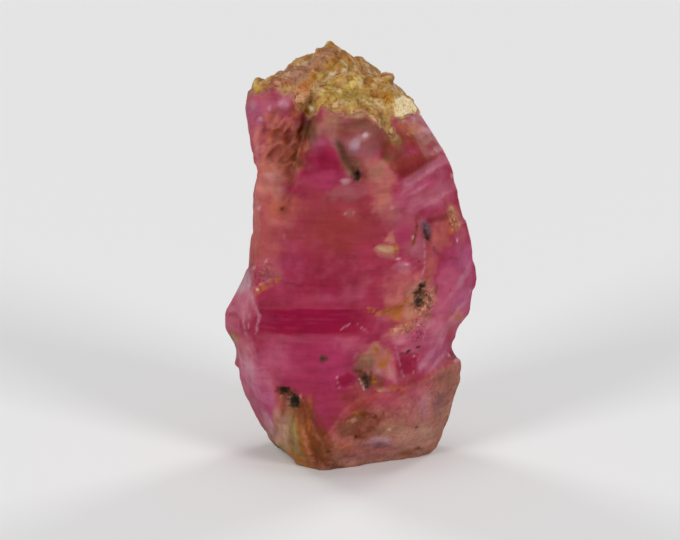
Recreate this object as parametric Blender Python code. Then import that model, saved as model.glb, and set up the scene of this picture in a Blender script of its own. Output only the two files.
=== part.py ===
"""Raw ruby crystal: a stout broken prism of corundum, standing on its broken base.

Run with: blender --background --python part.py
The stone is shaped in millimetres and scaled to metres at the end. +Z is up, the front is towards -Y,
and the origin is under the middle of the stone's box, on the plane that it stands on.
"""

import math

import bmesh
import bpy
import numpy as np
from mathutils import Matrix, Vector, noise

MM = 0.001  # metres in the unit that the shape is worked out in

# Driving dimensions, in millimetres.
APEX = Vector((-0.8, 0.3, 20.85))  # the highest point, before the crust goes on
FOOT = -0.6  # the loft starts this far below the base, which is cut off flat later
LOFT_TOP = 22.6
ROW_PITCH = 0.9  # height of one row of the loft
FRONT_BULGE = 0.065  # how far the front's faces swell between their ridges, as a share of their width
BACK_BULGE = 0.02
VOXEL = 0.13  # cell of the mesh that the surface is worked in
TRIANGLES = 9200

# The crystal's own long axis. Its parting planes lie square to it, so they rise to the right and the back.
C_AXIS = Vector((-0.05, -0.14, 0.99)).normalized()

# Ridges of the prism from foot to top, each a list of (height, x, y), from the left across the front.
RIDGES = {
    "left": [
        (FOOT, -3.1, 1.0), (0.0, -3.4, 1.0), (1.3, -4.45, 0.6), (3.3, -5.3, 0.2), (4.8, -5.5, 0.0),
        (5.5, -5.5, -0.1), (6.9, -6.35, -0.2), (7.6, -6.0, -0.3), (8.9, -5.25, -0.6), (9.9, -4.8, -1.2),
        (12.4, -4.6, -1.4), (13.5, -4.65, -1.4), (14.8, -4.35, -1.4), (16.7, -4.9, -1.0),
        (18.8, -5.15, -0.8), (LOFT_TOP, -4.9, -0.4),
    ],
    "front_left": [
        (FOOT, -2.0, -1.7), (0.0, -2.2, -1.8), (1.3, -3.1, -2.5), (3.3, -4.1, -2.9), (5.2, -4.5, -3.2),
        (7.1, -4.55, -3.4), (9.9, -4.45, -3.4), (12.4, -4.2, -3.4), (14.5, -4.05, -3.2),
        (16.7, -4.3, -2.7), (18.8, -4.4, -2.3), (LOFT_TOP, -4.2, -1.9),
    ],
    "front_middle": [
        (FOOT, -0.9, -2.8), (0.0, -1.0, -3.0), (2.0, -1.4, -3.9), (5.0, -1.6, -4.25), (7.0, -1.5, -4.4),
        (8.6, -1.4, -4.3), (12.0, -1.0, -4.3), (16.0, -0.6, -4.4), (18.3, -0.4, -4.0),
        (LOFT_TOP, -0.3, -3.0),
    ],
    "front_right": [
        (FOOT, 2.0, -1.2), (0.0, 2.2, -1.4), (2.0, 3.0, -2.7), (5.0, 3.0, -3.5), (7.0, 2.9, -3.75),
        (9.0, 3.5, -3.7), (11.0, 3.85, -3.5), (12.5, 3.6, -3.6), (14.2, 2.6, -4.0), (16.0, 2.2, -3.9),
        (18.0, 1.9, -3.4), (LOFT_TOP, 1.0, -2.4),
    ],
    "right": [
        (FOOT, 3.9, -0.1), (0.0, 4.15, -0.1), (0.8, 4.72, -0.1), (3.1, 5.25, -0.2), (4.5, 5.6, -0.3),
        (5.0, 5.5, -0.3), (5.7, 5.2, -0.5), (6.5, 5.4, -0.7), (7.4, 6.05, -0.9), (9.3, 6.35, -1.0),
        (11.6, 5.95, -1.0), (13.2, 5.4, -0.9), (14.5, 5.3, -0.8), (15.4, 4.95, -0.8), (17.1, 3.75, -0.6),
        (19.3, 2.2, -0.4), (LOFT_TOP, 0.4, 0.0),
    ],
    "back_right": [
        (FOOT, 2.8, 2.0), (0.0, 3.0, 2.2), (3.0, 4.1, 2.8), (6.0, 4.3, 2.5), (9.5, 5.0, 2.3),
        (13.0, 4.2, 2.4), (17.0, 2.7, 2.5), (LOFT_TOP, 0.8, 2.2),
    ],
    "back": [
        (FOOT, 0.2, 2.8), (0.0, 0.2, 3.0), (3.0, 0.6, 4.1), (8.0, 0.9, 4.5), (12.0, 0.4, 4.3),
        (16.0, -0.5, 4.0), (19.0, -1.2, 3.2), (LOFT_TOP, -1.2, 2.4),
    ],
    "back_left": [
        (FOOT, -2.4, 2.2), (0.0, -2.6, 2.4), (3.0, -3.9, 3.0), (7.0, -4.6, 2.7), (10.0, -3.9, 3.0),
        (14.0, -3.7, 2.7), (18.0, -4.2, 1.9), (LOFT_TOP, -3.8, 1.6),
    ],
}

# Break planes, each (a point on it, its outward direction). The first four make the roof under the crust.
BREAKS = [
    (APEX, (0.03, -0.585, 0.81)),
    (APEX, (-0.50, 0.10, 0.86)),
    (APEX, (0.60, 0.05, 0.80)),
    (APEX, (-0.05, 0.62, 0.78)),
    ((4.55, 2.4, 11.0), (0.78, 0.60, 0.16)),
    ((-4.15, 2.85, 8.0), (-0.70, 0.70, -0.12)),
    ((0.9, 4.28, 6.5), (0.10, 0.985, -0.16)),
    ((-2.6, 3.55, 15.0), (-0.36, 0.88, 0.30)),
    ((3.9, 2.5, 1.9), (0.62, 0.66, -0.42)),
    ((5.7, -0.2, 2.9), (0.86, -0.15, -0.49)),
    ((2.6, 3.25, 15.4), (0.42, 0.78, 0.46)),
    ((1.4, -1.6, 0.0), (0.34, -0.75, -0.57)),
]

# Grains of host rock that stand out of the crust and the skirt: (centre, half sizes, turn about the view).
LUMPS = [
    ((-0.8, 0.3, 20.65), (0.36, 0.5, 0.32), 10),
    ((-0.35, -0.7, 19.9), (0.7, 0.7, 0.4), 35),
    ((-4.7, -1.15, 18.65), (0.5, 0.6, 0.45), -30),
    ((-3.3, -0.6, 18.5), (0.6, 0.6, 0.32), -25),
    ((1.75, -0.6, 19.05), (0.45, 0.5, 0.45), 0),
    ((2.4, -1.2, 18.05), (0.72, 0.6, 0.62), 35),
    ((0.8, -0.9, 18.85), (0.7, 0.6, 0.4), 40),
    ((-0.1, -1.9, 19.2), (0.8, 0.7, 0.5), 0),
    ((0.1, -3.1, 18.15), (0.6, 0.55, 0.55), 10),
    ((0.95, -2.7, 18.25), (0.6, 0.5, 0.45), 45),
    ((-1.0, -2.6, 18.6), (0.65, 0.6, 0.42), -30),
    ((1.95, -2.9, 17.3), (0.45, 0.5, 0.9), 15),
    ((-0.3, 1.6, 19.4), (0.9, 0.8, 0.5), 15),
    ((-2.6, 0.9, 19.05), (0.9, 0.9, 0.45), -20),
    ((4.8, -0.4, 4.8), (0.75, 1.1, 0.95), 10),
    ((-5.25, -0.4, 4.9), (0.45, 0.6, 0.45), 0),
    ((3.4, 1.4, 1.6), (0.9, 0.9, 1.1), 0),
]

# Hollows of the surface: (centre, half sizes, depth, how broken it is). A negative depth swells.
HOLLOWS = [
    ((1.2, -4.1, 5.6), (1.7, 1.6, 1.5), 0.75, 0.35),
    ((3.3, -3.7, 9.1), (0.75, 1.2, 0.85), 0.45, 0.45),
    ((3.95, -3.4, 12.1), (0.45, 1.0, 0.85), 0.35, 0.3),
    ((0.15, -4.3, 15.8), (0.50, 1.0, 0.85), 0.35, 0.3),
    ((-3.0, -3.3, 4.1), (0.75, 1.2, 0.55), 0.45, 0.3),
    ((2.1, -3.7, 8.4), (1.5, 1.2, 0.45), 0.25, 0.3),
    ((1.9, -3.6, 17.2), (0.5, 1.3, 1.5), 0.35, 0.0),
    ((0.0, -4.4, 16.6), (2.0, 1.5, 1.5), -0.22, 0.0),
    ((4.9, -2.0, 8.9), (1.6, 1.6, 2.6), -0.15, 0.0),
    ((-1.6, -4.0, 5.2), (2.4, 1.5, 1.8), -0.18, 0.0),
    ((4.5, 1.2, 14.5), (1.6, 2.2, 1.7), 0.40, 0.2),
    ((-4.6, 1.6, 12.0), (1.2, 1.8, 2.4), 0.45, 0.2),
    ((1.8, 4.3, 9.5), (2.4, 1.6, 1.5), 0.50, 0.3),
    ((-2.4, 3.7, 5.0), (1.6, 1.4, 1.9), 0.40, 0.3),
    ((-2.1, -3.3, 2.0), (0.9, 1.3, 1.9), -0.15, 0.1),
    ((-3.5, 0.9, 19.0), (0.9, 1.9, 0.9), 0.35, 0.2),
    ((0.75, -0.9, 19.6), (0.5, 1.2, 0.7), 0.25, 0.2),
]

# The layers that the prism grew in: where each ends along the crystal's axis, and how far it stands proud.
LAYERS = [
    (4.4, 0.03), (5.7, -0.08), (6.3, 0.06), (8.4, -0.03), (9.7, 0.13), (10.2, -0.03), (11.9, 0.08),
    (13.2, -0.09), (13.7, 0.05), (15.4, -0.06), (16.1, 0.10), (17.3, -0.04), (99.0, 0.0),
]
RISER = 0.07  # half the height over which one layer gives way to the next

# Surface work: how far it moves the surface, and the size of its grain.
SWELL = 0.07
SWELL_GRAIN = 2.2
BROKEN_GRAIN = 0.8
FLANK_RELIEF = 0.14
FLANK_GRAIN = 0.6
CRUST_COARSE = 0.22
CRUST_COARSE_GRAIN = 1.5
CRUST_FINE = 0.12
CRUST_FINE_GRAIN = 0.75
CRUST_BROKEN = 0.10
CRUST_SINK = 0.15  # the crust starts this far inside the roof, so that its grains end near the true outline
SKIRT_SKIN = 0.08
SKIRT_RELIEF = 0.14
SKIRT_GRAIN = 0.9
SHARP_ANGLE = 35  # degrees between two faces that makes their edge look sharp


def ridge_at(name, height):
    """The place of one ridge at one height."""
    heights, xs, ys = zip(*RIDGES[name])
    return Vector((np.interp(height, heights, xs), np.interp(height, heights, ys), height))


def object_from(name, shape):
    """A new object that takes over a bmesh."""
    mesh = bpy.data.meshes.new(name)
    shape.to_mesh(mesh)
    shape.free()
    made = bpy.data.objects.new(name, mesh)
    bpy.context.scene.collection.objects.link(made)
    return made


def apply_modifiers(body):
    """Makes the object's modifiers permanent."""
    graph = bpy.context.evaluated_depsgraph_get()
    finished = bpy.data.meshes.new_from_object(body.evaluated_get(graph))
    body.modifiers.clear()
    body.data = finished


def outline_at(height):
    """One level outline: its ridges, and between each two a point that swells the face a little."""
    ridges = [ridge_at(name, height) for name in RIDGES]
    outline = []
    for i, corner in enumerate(ridges):
        following = ridges[(i + 1) % len(ridges)]
        along = following - corner
        outward = Vector((along.y, -along.x, 0.0))
        bulge = FRONT_BULGE if (corner.y + following.y) / 2.0 < -1.5 else BACK_BULGE
        outline += [corner, (corner + following) / 2.0 + bulge * outward]
    return outline


def lofted_prism():
    """The prism as it grew: nearly flat sides between its ridges, stacked in level rows."""
    shape = bmesh.new()
    rows = round((LOFT_TOP - FOOT) / ROW_PITCH)
    rings = []
    for height in np.linspace(FOOT, LOFT_TOP, rows + 1):
        rings.append([shape.verts.new(point) for point in outline_at(height)])
    sides = len(rings[0])
    for below, above in zip(rings, rings[1:]):
        for i in range(sides):
            j = (i + 1) % sides
            shape.faces.new((below[i], below[j], above[j], above[i]))
    shape.faces.new(rings[0][::-1])
    shape.faces.new(rings[-1])
    bmesh.ops.triangulate(shape, faces=shape.faces)
    bmesh.ops.recalc_face_normals(shape, faces=shape.faces)
    return object_from("ruby_crystal", shape)


def break_off(body, point, outward):
    """Removes all that lies beyond a plane and closes the cut with a flat face."""
    shape = bmesh.new()
    shape.from_mesh(body.data)
    cut = bmesh.ops.bisect_plane(
        shape,
        geom=shape.verts[:] + shape.edges[:] + shape.faces[:],
        plane_co=point,
        plane_no=outward,
        dist=1e-5,
        clear_outer=True,
    )
    rim = [e for e in cut["geom_cut"] if isinstance(e, bmesh.types.BMEdge)]
    filled = bmesh.ops.holes_fill(shape, edges=rim)
    bmesh.ops.triangulate(shape, faces=filled["faces"])
    bmesh.ops.recalc_face_normals(shape, faces=shape.faces)
    shape.to_mesh(body.data)
    shape.free()


def hull(name, corners):
    """A convex block through its corners."""
    shape = bmesh.new()
    points = [shape.verts.new(corner) for corner in corners]
    made = bmesh.ops.convex_hull(shape, input=points)
    unused = {v for v in made["geom_interior"] + made["geom_unused"] if isinstance(v, bmesh.types.BMVert)}
    bmesh.ops.delete(shape, geom=list(unused), context="VERTS")
    bmesh.ops.recalc_face_normals(shape, faces=shape.faces)
    return object_from(name, shape)


def combine(body, tool, operation):
    """Cuts a tool from the body, or joins it on, and removes the tool."""
    modifier = body.modifiers.new(tool.name, "BOOLEAN")
    modifier.operation = operation
    modifier.object = tool
    apply_modifiers(body)
    bpy.data.objects.remove(tool)


def parting_notch():
    """The shallow window across the front, between two parting planes, running out towards the right."""
    floor_line = ((-5.1, -2.75), (-4.5, -3.22), (-3.05, -3.93), (-1.45, -4.17), (0.2, -4.26), (1.4, -4.3))
    outside_y = -7.0
    sill, lintel = 7.15, 8.5
    shape = bmesh.new()
    lower, upper = [], []
    for x, y in (*floor_line, (floor_line[-1][0], outside_y), (floor_line[0][0], outside_y)):
        tilt = 0.05 * x + 0.14 * (y + 4.0)
        lower.append(shape.verts.new((x, y, sill + tilt)))
        upper.append(shape.verts.new((x, y, lintel + tilt)))
    shape.faces.new(lower)
    shape.faces.new(upper)
    for i, corner in enumerate(lower):
        shape.faces.new((corner, lower[i - 1], upper[i - 1], upper[i]))
    bmesh.ops.triangulate(shape, faces=shape.faces)
    bmesh.ops.recalc_face_normals(shape, faces=shape.faces)
    return object_from("parting_notch", shape)


def left_setback():
    """The upper left flank, broken back behind the front, with a floor that runs down and out."""
    outside_y, flank_y = -6.0, -2.05
    floor_back, floor_front = 15.4, 9.6
    far_left = -7.0
    top = 24.0

    def wall_x(height):
        return -3.15 + 0.27 * (height - 13.4)

    return hull("left_setback", [
        (far_left, flank_y + 0.55, floor_back - 0.4), (far_left, flank_y + 0.55, top),
        (wall_x(floor_back), flank_y, floor_back), (wall_x(top), flank_y, top),
        (far_left, outside_y, floor_front), (far_left, outside_y, top),
        (wall_x(floor_front) + 0.5, outside_y, floor_front), (wall_x(top) + 0.5, outside_y, top),
    ])


def left_cleft():
    """The dark cleft where the set-back flank meets the side of the prism."""
    return hull("left_cleft", [
        (-1.5, -1.5, 18.7), (-2.5, -1.6, 15.2), (-1.35, -3.4, 18.9), (-2.15, -3.0, 19.0),
        (-2.45, -3.7, 14.5), (-3.35, -3.3, 14.3), (-3.1, -3.9, 13.4), (-1.55, -1.8, 19.2),
    ])


def back_ledge():
    """The upper right of the back, broken away down to a parting plane that makes a wide ledge."""
    return hull("back_ledge", [
        (1.0, 3.35, 11.9), (5.6, 1.6, 11.4), (1.6, 7.0, 12.7), (7.5, 7.0, 12.2),
        (-3.6, 2.6, 21.0), (5.0, 0.6, 23.0), (-3.0, 7.0, 21.5), (7.5, 7.0, 23.0),
    ])


def back_step():
    """A shallower three-cornered step low on the back, open to the left."""
    return hull("back_step", [
        (-6.5, 2.0, 5.6), (0.9, 3.85, 6.1), (-6.5, 7.0, 6.3), (1.6, 7.0, 6.8),
        (-6.5, 1.9, 11.6), (-3.4, 2.7, 11.2), (-6.5, 7.0, 12.4), (-3.0, 7.0, 11.9),
    ])


def foot_chip():
    """A corner struck off low on the left of the back."""
    return hull("foot_chip", [
        (-5.2, 0.9, -1.0), (-2.2, 3.2, -1.0), (-4.0, 2.1, 4.0), (-4.9, 1.7, 3.7), (-3.4, 3.1, 3.9),
        (-6.5, 5.0, -1.0), (-6.5, 5.0, 4.4),
    ])


def right_chip():
    """A glassy chip low on the right of the front, with one steep side."""
    return hull("right_chip", [
        (2.4, -3.45, 6.15), (3.65, -3.0, 6.3), (2.5, -3.45, 4.8), (3.7, -2.95, 4.95),
        (2.3, -5.0, 6.3), (3.9, -5.0, 6.45), (2.4, -5.0, 4.55), (3.95, -5.0, 4.7),
    ])


def lump(centre, size, turn):
    """An angular grain of host rock: a block of twenty faces with its corners pushed in and out."""
    shape = bmesh.new()
    bmesh.ops.create_icosphere(shape, subdivisions=1, radius=1.0)
    for vertex in shape.verts:
        vertex.co *= 1.0 + 0.35 * noise.noise(vertex.co * 1.3 + Vector(centre))
    bmesh.ops.scale(shape, vec=size, verts=shape.verts)
    bmesh.ops.rotate(shape, matrix=Matrix.Rotation(math.radians(turn), 3, "Y"), verts=shape.verts)
    bmesh.ops.translate(shape, vec=centre, verts=shape.verts)
    return object_from("lump", shape)


def worked_mesh(body):
    """Rebuilds the surface as small even cells, so that it can be worked all over."""
    cells = body.modifiers.new("cells", "REMESH")
    cells.mode = "VOXEL"
    cells.voxel_size = VOXEL
    soften = body.modifiers.new("soften", "SMOOTH")
    soften.factor = 0.5
    soften.iterations = 1
    apply_modifiers(body)


def fade(values, low, high):
    """0 below low, 1 above high, and smooth between."""
    share = np.clip((values - low) / (high - low), 0.0, 1.0)
    return share * share * (3.0 - 2.0 * share)


def rough(points, grain, seed):
    """Smooth noise from -1 to 1 at every point, with lumps about one grain wide."""
    shift = Vector((seed, 2.3 * seed, -1.7 * seed))
    return np.array([noise.fractal(Vector(p) / grain + shift, 1.0, 2.0, 3) for p in points])


def dished(points, centre, size):
    """1 at the centre of an ellipsoid and 0 at its edge and beyond."""
    away = ((points - np.array(centre)) / np.array(size)) ** 2
    return np.clip(1.0 - away.sum(axis=1), 0.0, 1.0) ** 1.5


def growth_steps(points, normals):
    """Low treads and risers along the parting planes, strongest on the right flank and the back."""
    height = points @ np.array(C_AXIS) + 0.15 * rough(points, 4.0, 3.0)
    proud = np.full(len(points), LAYERS[0][1])
    for (end, offset), (_, following) in zip(LAYERS, LAYERS[1:]):
        proud += fade(height, end - RISER, end + RISER) * (following - offset)
    steep = 1.0 - np.abs(normals[:, 2])
    on_right = 0.5 * fade(normals[:, 0], 0.25, 0.7)
    on_back = fade(normals[:, 1], 0.1, 0.6)
    on_left = 0.4 * fade(-normals[:, 0], 0.5, 0.9)
    clear_of_crust = 1.0 - fade(points[:, 2], 16.5, 18.0)
    clear_of_skirt = fade(points[:, 2], 3.0, 4.5)
    return proud * steep * np.clip(on_right + on_back + on_left, 0.0, 1.0) * clear_of_crust * clear_of_skirt


def grains(points, size, seed):
    """Grains packed side by side, from 0 in the seams to 1 on top of each."""
    shift = Vector((seed, -seed, 0.5 * seed))
    nearest = np.array([noise.voronoi(Vector(p) / size + shift)[0][:2] for p in points])
    return fade(nearest[:, 1] - nearest[:, 0], 0.0, 0.5)


def crust_cover(points, normals):
    """Where host rock covers the stone: the roof, with a ragged lower edge."""
    ragged = 0.5 * rough(points, 1.2, 8.0)
    return fade(points[:, 2] + 2.2 * normals[:, 2] + ragged, 18.6, 19.4)


def flank_cover(points):
    """Where the set-back left flank is ragged."""
    across = fade(points[:, 0], -4.9, -4.3) * (1.0 - fade(points[:, 0], -2.4, -1.8))
    return across * fade(points[:, 2], 12.4, 14.0) * fade(-points[:, 1], 0.6, 1.4)


def skirt_cover(points):
    """Where a rough skin covers the foot, higher on the right and the back."""
    edge = 2.3 + 0.42 * (points[:, 0] + 0.5) + 0.12 * points[:, 1] + 0.6 * rough(points, 1.6, 5.0)
    return 1.0 - fade(points[:, 2], edge - 0.25, edge + 0.25)


def weather(body):
    """Works the surface in and out along its own direction: hollows, growth steps, crust and skin."""
    count = len(body.data.vertices)
    points = np.empty(count * 3, np.float32)
    normals = np.empty(count * 3, np.float32)
    body.data.vertices.foreach_get("co", points)
    body.data.vertices.foreach_get("normal", normals)
    points = points.reshape(-1, 3).astype(float)
    normals = normals.reshape(-1, 3).astype(float)
    broken = rough(points, BROKEN_GRAIN, 1.0)
    out = SWELL * rough(points, SWELL_GRAIN, 2.0)
    for centre, size, depth, jagged in HOLLOWS:
        out -= dished(points, centre, size) * depth * (1.0 + jagged * broken)
    out += growth_steps(points, normals)
    out += flank_cover(points) * FLANK_RELIEF * rough(points, FLANK_GRAIN, 9.0)
    coarse = CRUST_COARSE * grains(points, CRUST_COARSE_GRAIN, 4.0)
    fine_patches = fade(rough(points, 2.0, 10.0), -0.4, 0.3)
    fine = CRUST_FINE * grains(points, CRUST_FINE_GRAIN, 7.0) * fine_patches
    out += crust_cover(points, normals) * (coarse + fine + CRUST_BROKEN * broken - CRUST_SINK)
    out += skirt_cover(points) * (SKIRT_SKIN + SKIRT_RELIEF * rough(points, SKIRT_GRAIN, 6.0))
    points += normals * out[:, None]
    body.data.vertices.foreach_set("co", points.astype(np.float32).ravel())
    body.data.update()


def thin_out(body):
    """Keeps triangles where the surface bends and saves them where it is flat."""
    body.data.calc_loop_triangles()
    fewer = body.modifiers.new("fewer", "DECIMATE")
    fewer.ratio = TRIANGLES / len(body.data.loop_triangles)
    apply_modifiers(body)


def stand_on_origin(body):
    """Centres the stone's box over the origin and turns its millimetres into metres."""
    corners = np.array([v.co for v in body.data.vertices])
    middle = (corners.min(axis=0) + corners.max(axis=0)) / 2.0
    body.data.transform(Matrix.Translation((-middle[0], -middle[1], 0.0)))
    body.data.transform(Matrix.Scale(MM, 4))


def ruby_material():
    """Raspberry-red corundum, cloudy and half see-through, with a waxy broken surface."""
    material = bpy.data.materials.new("ruby")
    material.use_nodes = True
    shader = material.node_tree.nodes["Principled BSDF"]
    shader.inputs["Base Color"].default_value = (0.42, 0.045, 0.11, 1.0)
    shader.inputs["Roughness"].default_value = 0.34
    shader.inputs["Metallic"].default_value = 0.0
    return material


def main():
    for stray in list(bpy.data.objects):
        bpy.data.objects.remove(stray)
    stone = lofted_prism()
    for point, outward in BREAKS:
        break_off(stone, point, outward)
    for cutter in (left_setback, left_cleft, parting_notch, right_chip, back_ledge, back_step, foot_chip):
        combine(stone, cutter(), "DIFFERENCE")
    for centre, size, turn in LUMPS:
        combine(stone, lump(centre, size, turn), "UNION")
    worked_mesh(stone)
    weather(stone)
    thin_out(stone)
    break_off(stone, (0.0, 0.0, 0.0), (0.0, 0.0, -1.0))
    stand_on_origin(stone)
    stone.data.materials.clear()
    stone.data.materials.append(ruby_material())
    stone.data.shade_smooth()
    stone.data.set_sharp_from_angle(angle=math.radians(SHARP_ANGLE))


main()
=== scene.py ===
"""The looks of a raw ruby crystal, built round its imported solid.

All work on the stone is done in millimetres and turned into metres at the end. +Z is up and the front is
towards -Y. A mark on a side is placed by (across, up) in millimetres on a plane that leans back a little.
"""

import math

import bpy
import numpy as np
from mathutils import Matrix, Vector, noise


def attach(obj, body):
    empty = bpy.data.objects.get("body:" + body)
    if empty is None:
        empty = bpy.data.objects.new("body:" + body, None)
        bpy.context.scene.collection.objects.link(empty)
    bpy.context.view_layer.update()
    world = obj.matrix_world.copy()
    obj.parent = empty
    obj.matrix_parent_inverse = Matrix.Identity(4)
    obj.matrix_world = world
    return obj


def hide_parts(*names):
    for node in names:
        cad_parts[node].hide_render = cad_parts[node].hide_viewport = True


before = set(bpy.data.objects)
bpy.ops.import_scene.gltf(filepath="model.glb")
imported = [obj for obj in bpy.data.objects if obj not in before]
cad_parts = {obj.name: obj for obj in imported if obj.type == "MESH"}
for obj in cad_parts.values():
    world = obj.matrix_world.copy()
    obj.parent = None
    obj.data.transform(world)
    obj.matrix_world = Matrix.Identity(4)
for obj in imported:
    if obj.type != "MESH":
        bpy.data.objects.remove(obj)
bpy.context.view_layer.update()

# ----------------------------------------------------------------------
# The crystal. A stout prism of ruby, which is corundum reddened by chromium, broken at both ends and along
# its parting planes. It is clouded by fine fractures, stained by iron, and holds grains of other minerals.
# It was found like this, and nothing was cut or polished.
# ----------------------------------------------------------------------

MM = 0.001
CELL = 0.098  # size of the surface's cells, in mm: fine enough for grains and ledges
LEAN = math.radians(15.0)  # how far the planes that the marks are placed on lean back
SEEN_FROM = 170.0  # the marks are placed as they are seen from this far, in mm, level with SEEN_UP
SEEN_UP = 9.1

# Colours of the stone by daylight.
PALETTE = {
    "cream": "#e8d8b8",
    # clear ruby is deep, and clouded ruby is light
    "crimson": "#9c0c42",
    "claret": "#861a30",
    "cherry": "#a03e46",
    "raspberry": "#a63252",
    "magenta": "#ae3864",
    "rose": "#ba5a74",
    "lilac": "#b86086",
    "dusk": "#a05a60",
    "pink": "#ce8490",
    "mist": "#c0a0a8",
    "mauve": "#8a5a62",
    "violet": "#8a4a70",
    "milk": "#d2a0aa",
    # ruby stained by iron
    "brick": "#98382e",
    "coral": "#b86458",
    "salmon": "#c87e6e",
    "peach": "#c88e6c",
    "orange": "#b86a2e",
    "rust": "#8e4a1e",
    # other minerals
    "tan": "#bc986c",
    "fawn": "#bc8470",
    "cocoa": "#8c5e4a",
    "amber": "#b87020",
    "sand": "#c49c84",
    "sienna": "#80401e",
    "umber": "#65402a",
    "olive": "#94824e",
    "bronze": "#988244",
    "smoke": "#8f7480",
    # painted highlight: a chalky white that stands for glints on tiny broken faces, wherever it is used
    "chalk": "#e6dad4",
    "soot": "#2c2620",
}


def linear(code):
    """A colour given as an sRGB hex value, turned linear, with full alpha."""
    channels = [int(code[i:i + 2], 16) / 255.0 for i in (1, 3, 5)]
    return tuple(c / 12.92 if c <= 0.04045 else ((c + 0.055) / 1.055) ** 2.4 for c in channels) + (1.0,)


def fade(values, low, high):
    """0 below low, 1 above high, and smooth between."""
    share = np.clip((values - low) / (high - low), 0.0, 1.0)
    return share * share * (3.0 - 2.0 * share)


def rough(points, grain, seed, octaves=3):
    """Smooth noise from about -1 to 1, in lumps one grain wide. A grain may differ along x, y and z."""
    size = Vector(grain) if isinstance(grain, tuple) else Vector((grain, grain, grain))
    shift = Vector((seed, 2.3 * seed, -1.7 * seed))
    scaled = points / np.array(size)
    return np.array([noise.fractal(Vector(p) + shift, 1.0, 2.0, octaves) for p in scaled])


def lumps(points, size, seed):
    """Packed angular lumps: how far each point is from its lump's seam, and the lump's tilt and lot."""
    shift = Vector((seed, -seed, 0.5 * seed))
    inside, tilt, lot = np.empty((3, len(points)))
    for i, p in enumerate(points):
        place = Vector(p) / size + shift
        distances, centres = noise.voronoi(place)
        inside[i] = distances[1] - distances[0]
        lean = noise.cell_vector(centres[0] * 7.3)
        tilt[i] = (place - centres[0]).dot(lean - Vector((0.5, 0.5, 0.5)))
        lot[i] = lean.x
    return inside, tilt, lot


def fine_copy(name, cell, top_only=None):
    """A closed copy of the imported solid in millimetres, made of small even cells, or only its top."""
    for other in bpy.context.selected_objects:
        other.select_set(False)
    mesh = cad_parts["ruby_crystal"].data.copy()
    mesh.name = name
    mesh.transform(Matrix.Scale(1.0 / MM, 4))
    made = bpy.data.objects.new(name, mesh)
    bpy.context.scene.collection.objects.link(made)
    bpy.context.view_layer.objects.active = made
    made.select_set(True)
    bpy.ops.object.mode_set(mode="EDIT")
    bpy.ops.mesh.select_all(action="SELECT")
    bpy.ops.mesh.remove_doubles(threshold=0.001)
    if top_only is not None:
        bpy.ops.mesh.bisect(
            plane_co=(0.0, 0.0, top_only), plane_no=(0.0, 0.0, 1.0), use_fill=True, clear_inner=True
        )
    bpy.ops.object.mode_set(mode="OBJECT")
    cells = made.modifiers.new("cells", "REMESH")
    cells.mode = "VOXEL"
    cells.voxel_size = cell
    bpy.ops.object.modifier_apply(modifier="cells")
    soften = made.modifiers.new("soften", "SMOOTH")
    soften.factor = 0.5
    soften.iterations = 2
    bpy.ops.object.modifier_apply(modifier="soften")
    return made


def read_points(piece):
    """The places and the directions of a piece's points."""
    count = len(piece.data.vertices)
    places = np.empty(count * 3, np.float32)
    directions = np.empty(count * 3, np.float32)
    piece.data.vertices.foreach_get("co", places)
    piece.data.vertices.foreach_get("normal", directions)
    return places.reshape(-1, 3).astype(float), directions.reshape(-1, 3).astype(float)


def write_points(piece, places, **fields):
    """Moves a piece's points, keeps a value for each of them by name, and turns millimetres into metres."""
    piece.data.vertices.foreach_set("co", places.astype(np.float32).ravel())
    for name, values in fields.items():
        kept = piece.data.attributes.new(name, "FLOAT_COLOR" if values.ndim == 2 else "FLOAT", "POINT")
        if values.ndim == 2:
            kept.data.foreach_set("color", np.clip(values, 0.0, 1.0).astype(np.float32).ravel())
        else:
            kept.data.foreach_set("value", np.clip(values, 0.0, 1.0).astype(np.float32))
    piece.data.transform(Matrix.Scale(MM, 4))
    piece.data.update()


stone = fine_copy("ruby_surface", CELL)
points, normals = read_points(stone)
TINTS = {name: np.array(linear(code)) for name, code in PALETTE.items()}


def wander(points):
    """The noise that a mark's place, across and up, and its edge follow."""
    return rough(points, 0.8, 31.0), rough(points, 0.8, 32.0), rough(points, 0.2, 35.0)


def side_plane(azimuth):
    """Where every point lies on the plane that faces an azimuth, and how much it faces that way."""
    a = math.radians(azimuth)
    outward = np.array((math.sin(a) * math.cos(LEAN), -math.cos(a) * math.cos(LEAN), math.sin(LEAN)))
    right = np.array((math.cos(a), math.sin(a), 0.0))
    nearer = SEEN_FROM / (SEEN_FROM - points @ outward)
    across = points @ right * nearer
    height = SEEN_UP + (points @ np.cross(outward, right) - SEEN_UP) * nearer
    return across, height, fade(normals @ outward, -0.3, -0.05)


def mark(side, x, up, half_x, half_up, turn=0, soft=0.7, ragged=0.4, fray=0.12, panel=False):
    """How much each point belongs to one oval mark, or to a panel with straight edges."""
    across, height, facing = side
    shift = min(ragged, 0.4 * min(half_x, half_up))
    across = across + warp_across * shift - x
    height = height + warp_up * shift - up
    t = math.radians(turn)
    along = (across * math.cos(t) + height * math.sin(t)) / half_x
    aside = (height * math.cos(t) - across * math.sin(t)) / half_up
    away = np.maximum(np.abs(along), np.abs(aside)) if panel else np.hypot(along, aside)
    return fade(1.0 - away + fray * frayed, 0.0, soft) * facing


def facet(side, corners, soft=0.08):
    """How much each point belongs to a face with straight edges, whose corners run anticlockwise."""
    across, height, facing = side
    depth = np.full(len(across), 9.0)
    for start, end in zip(corners, corners[1:] + corners[:1]):
        run = np.subtract(end, start)
        inward = ((height - start[1]) * run[0] - (across - start[0]) * run[1]) / np.hypot(*run)
        depth = np.minimum(depth, inward)
    return fade(depth + 0.05 * warp_up + 0.03 * frayed, -0.5 * soft, 0.5 * soft) * facing


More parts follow.
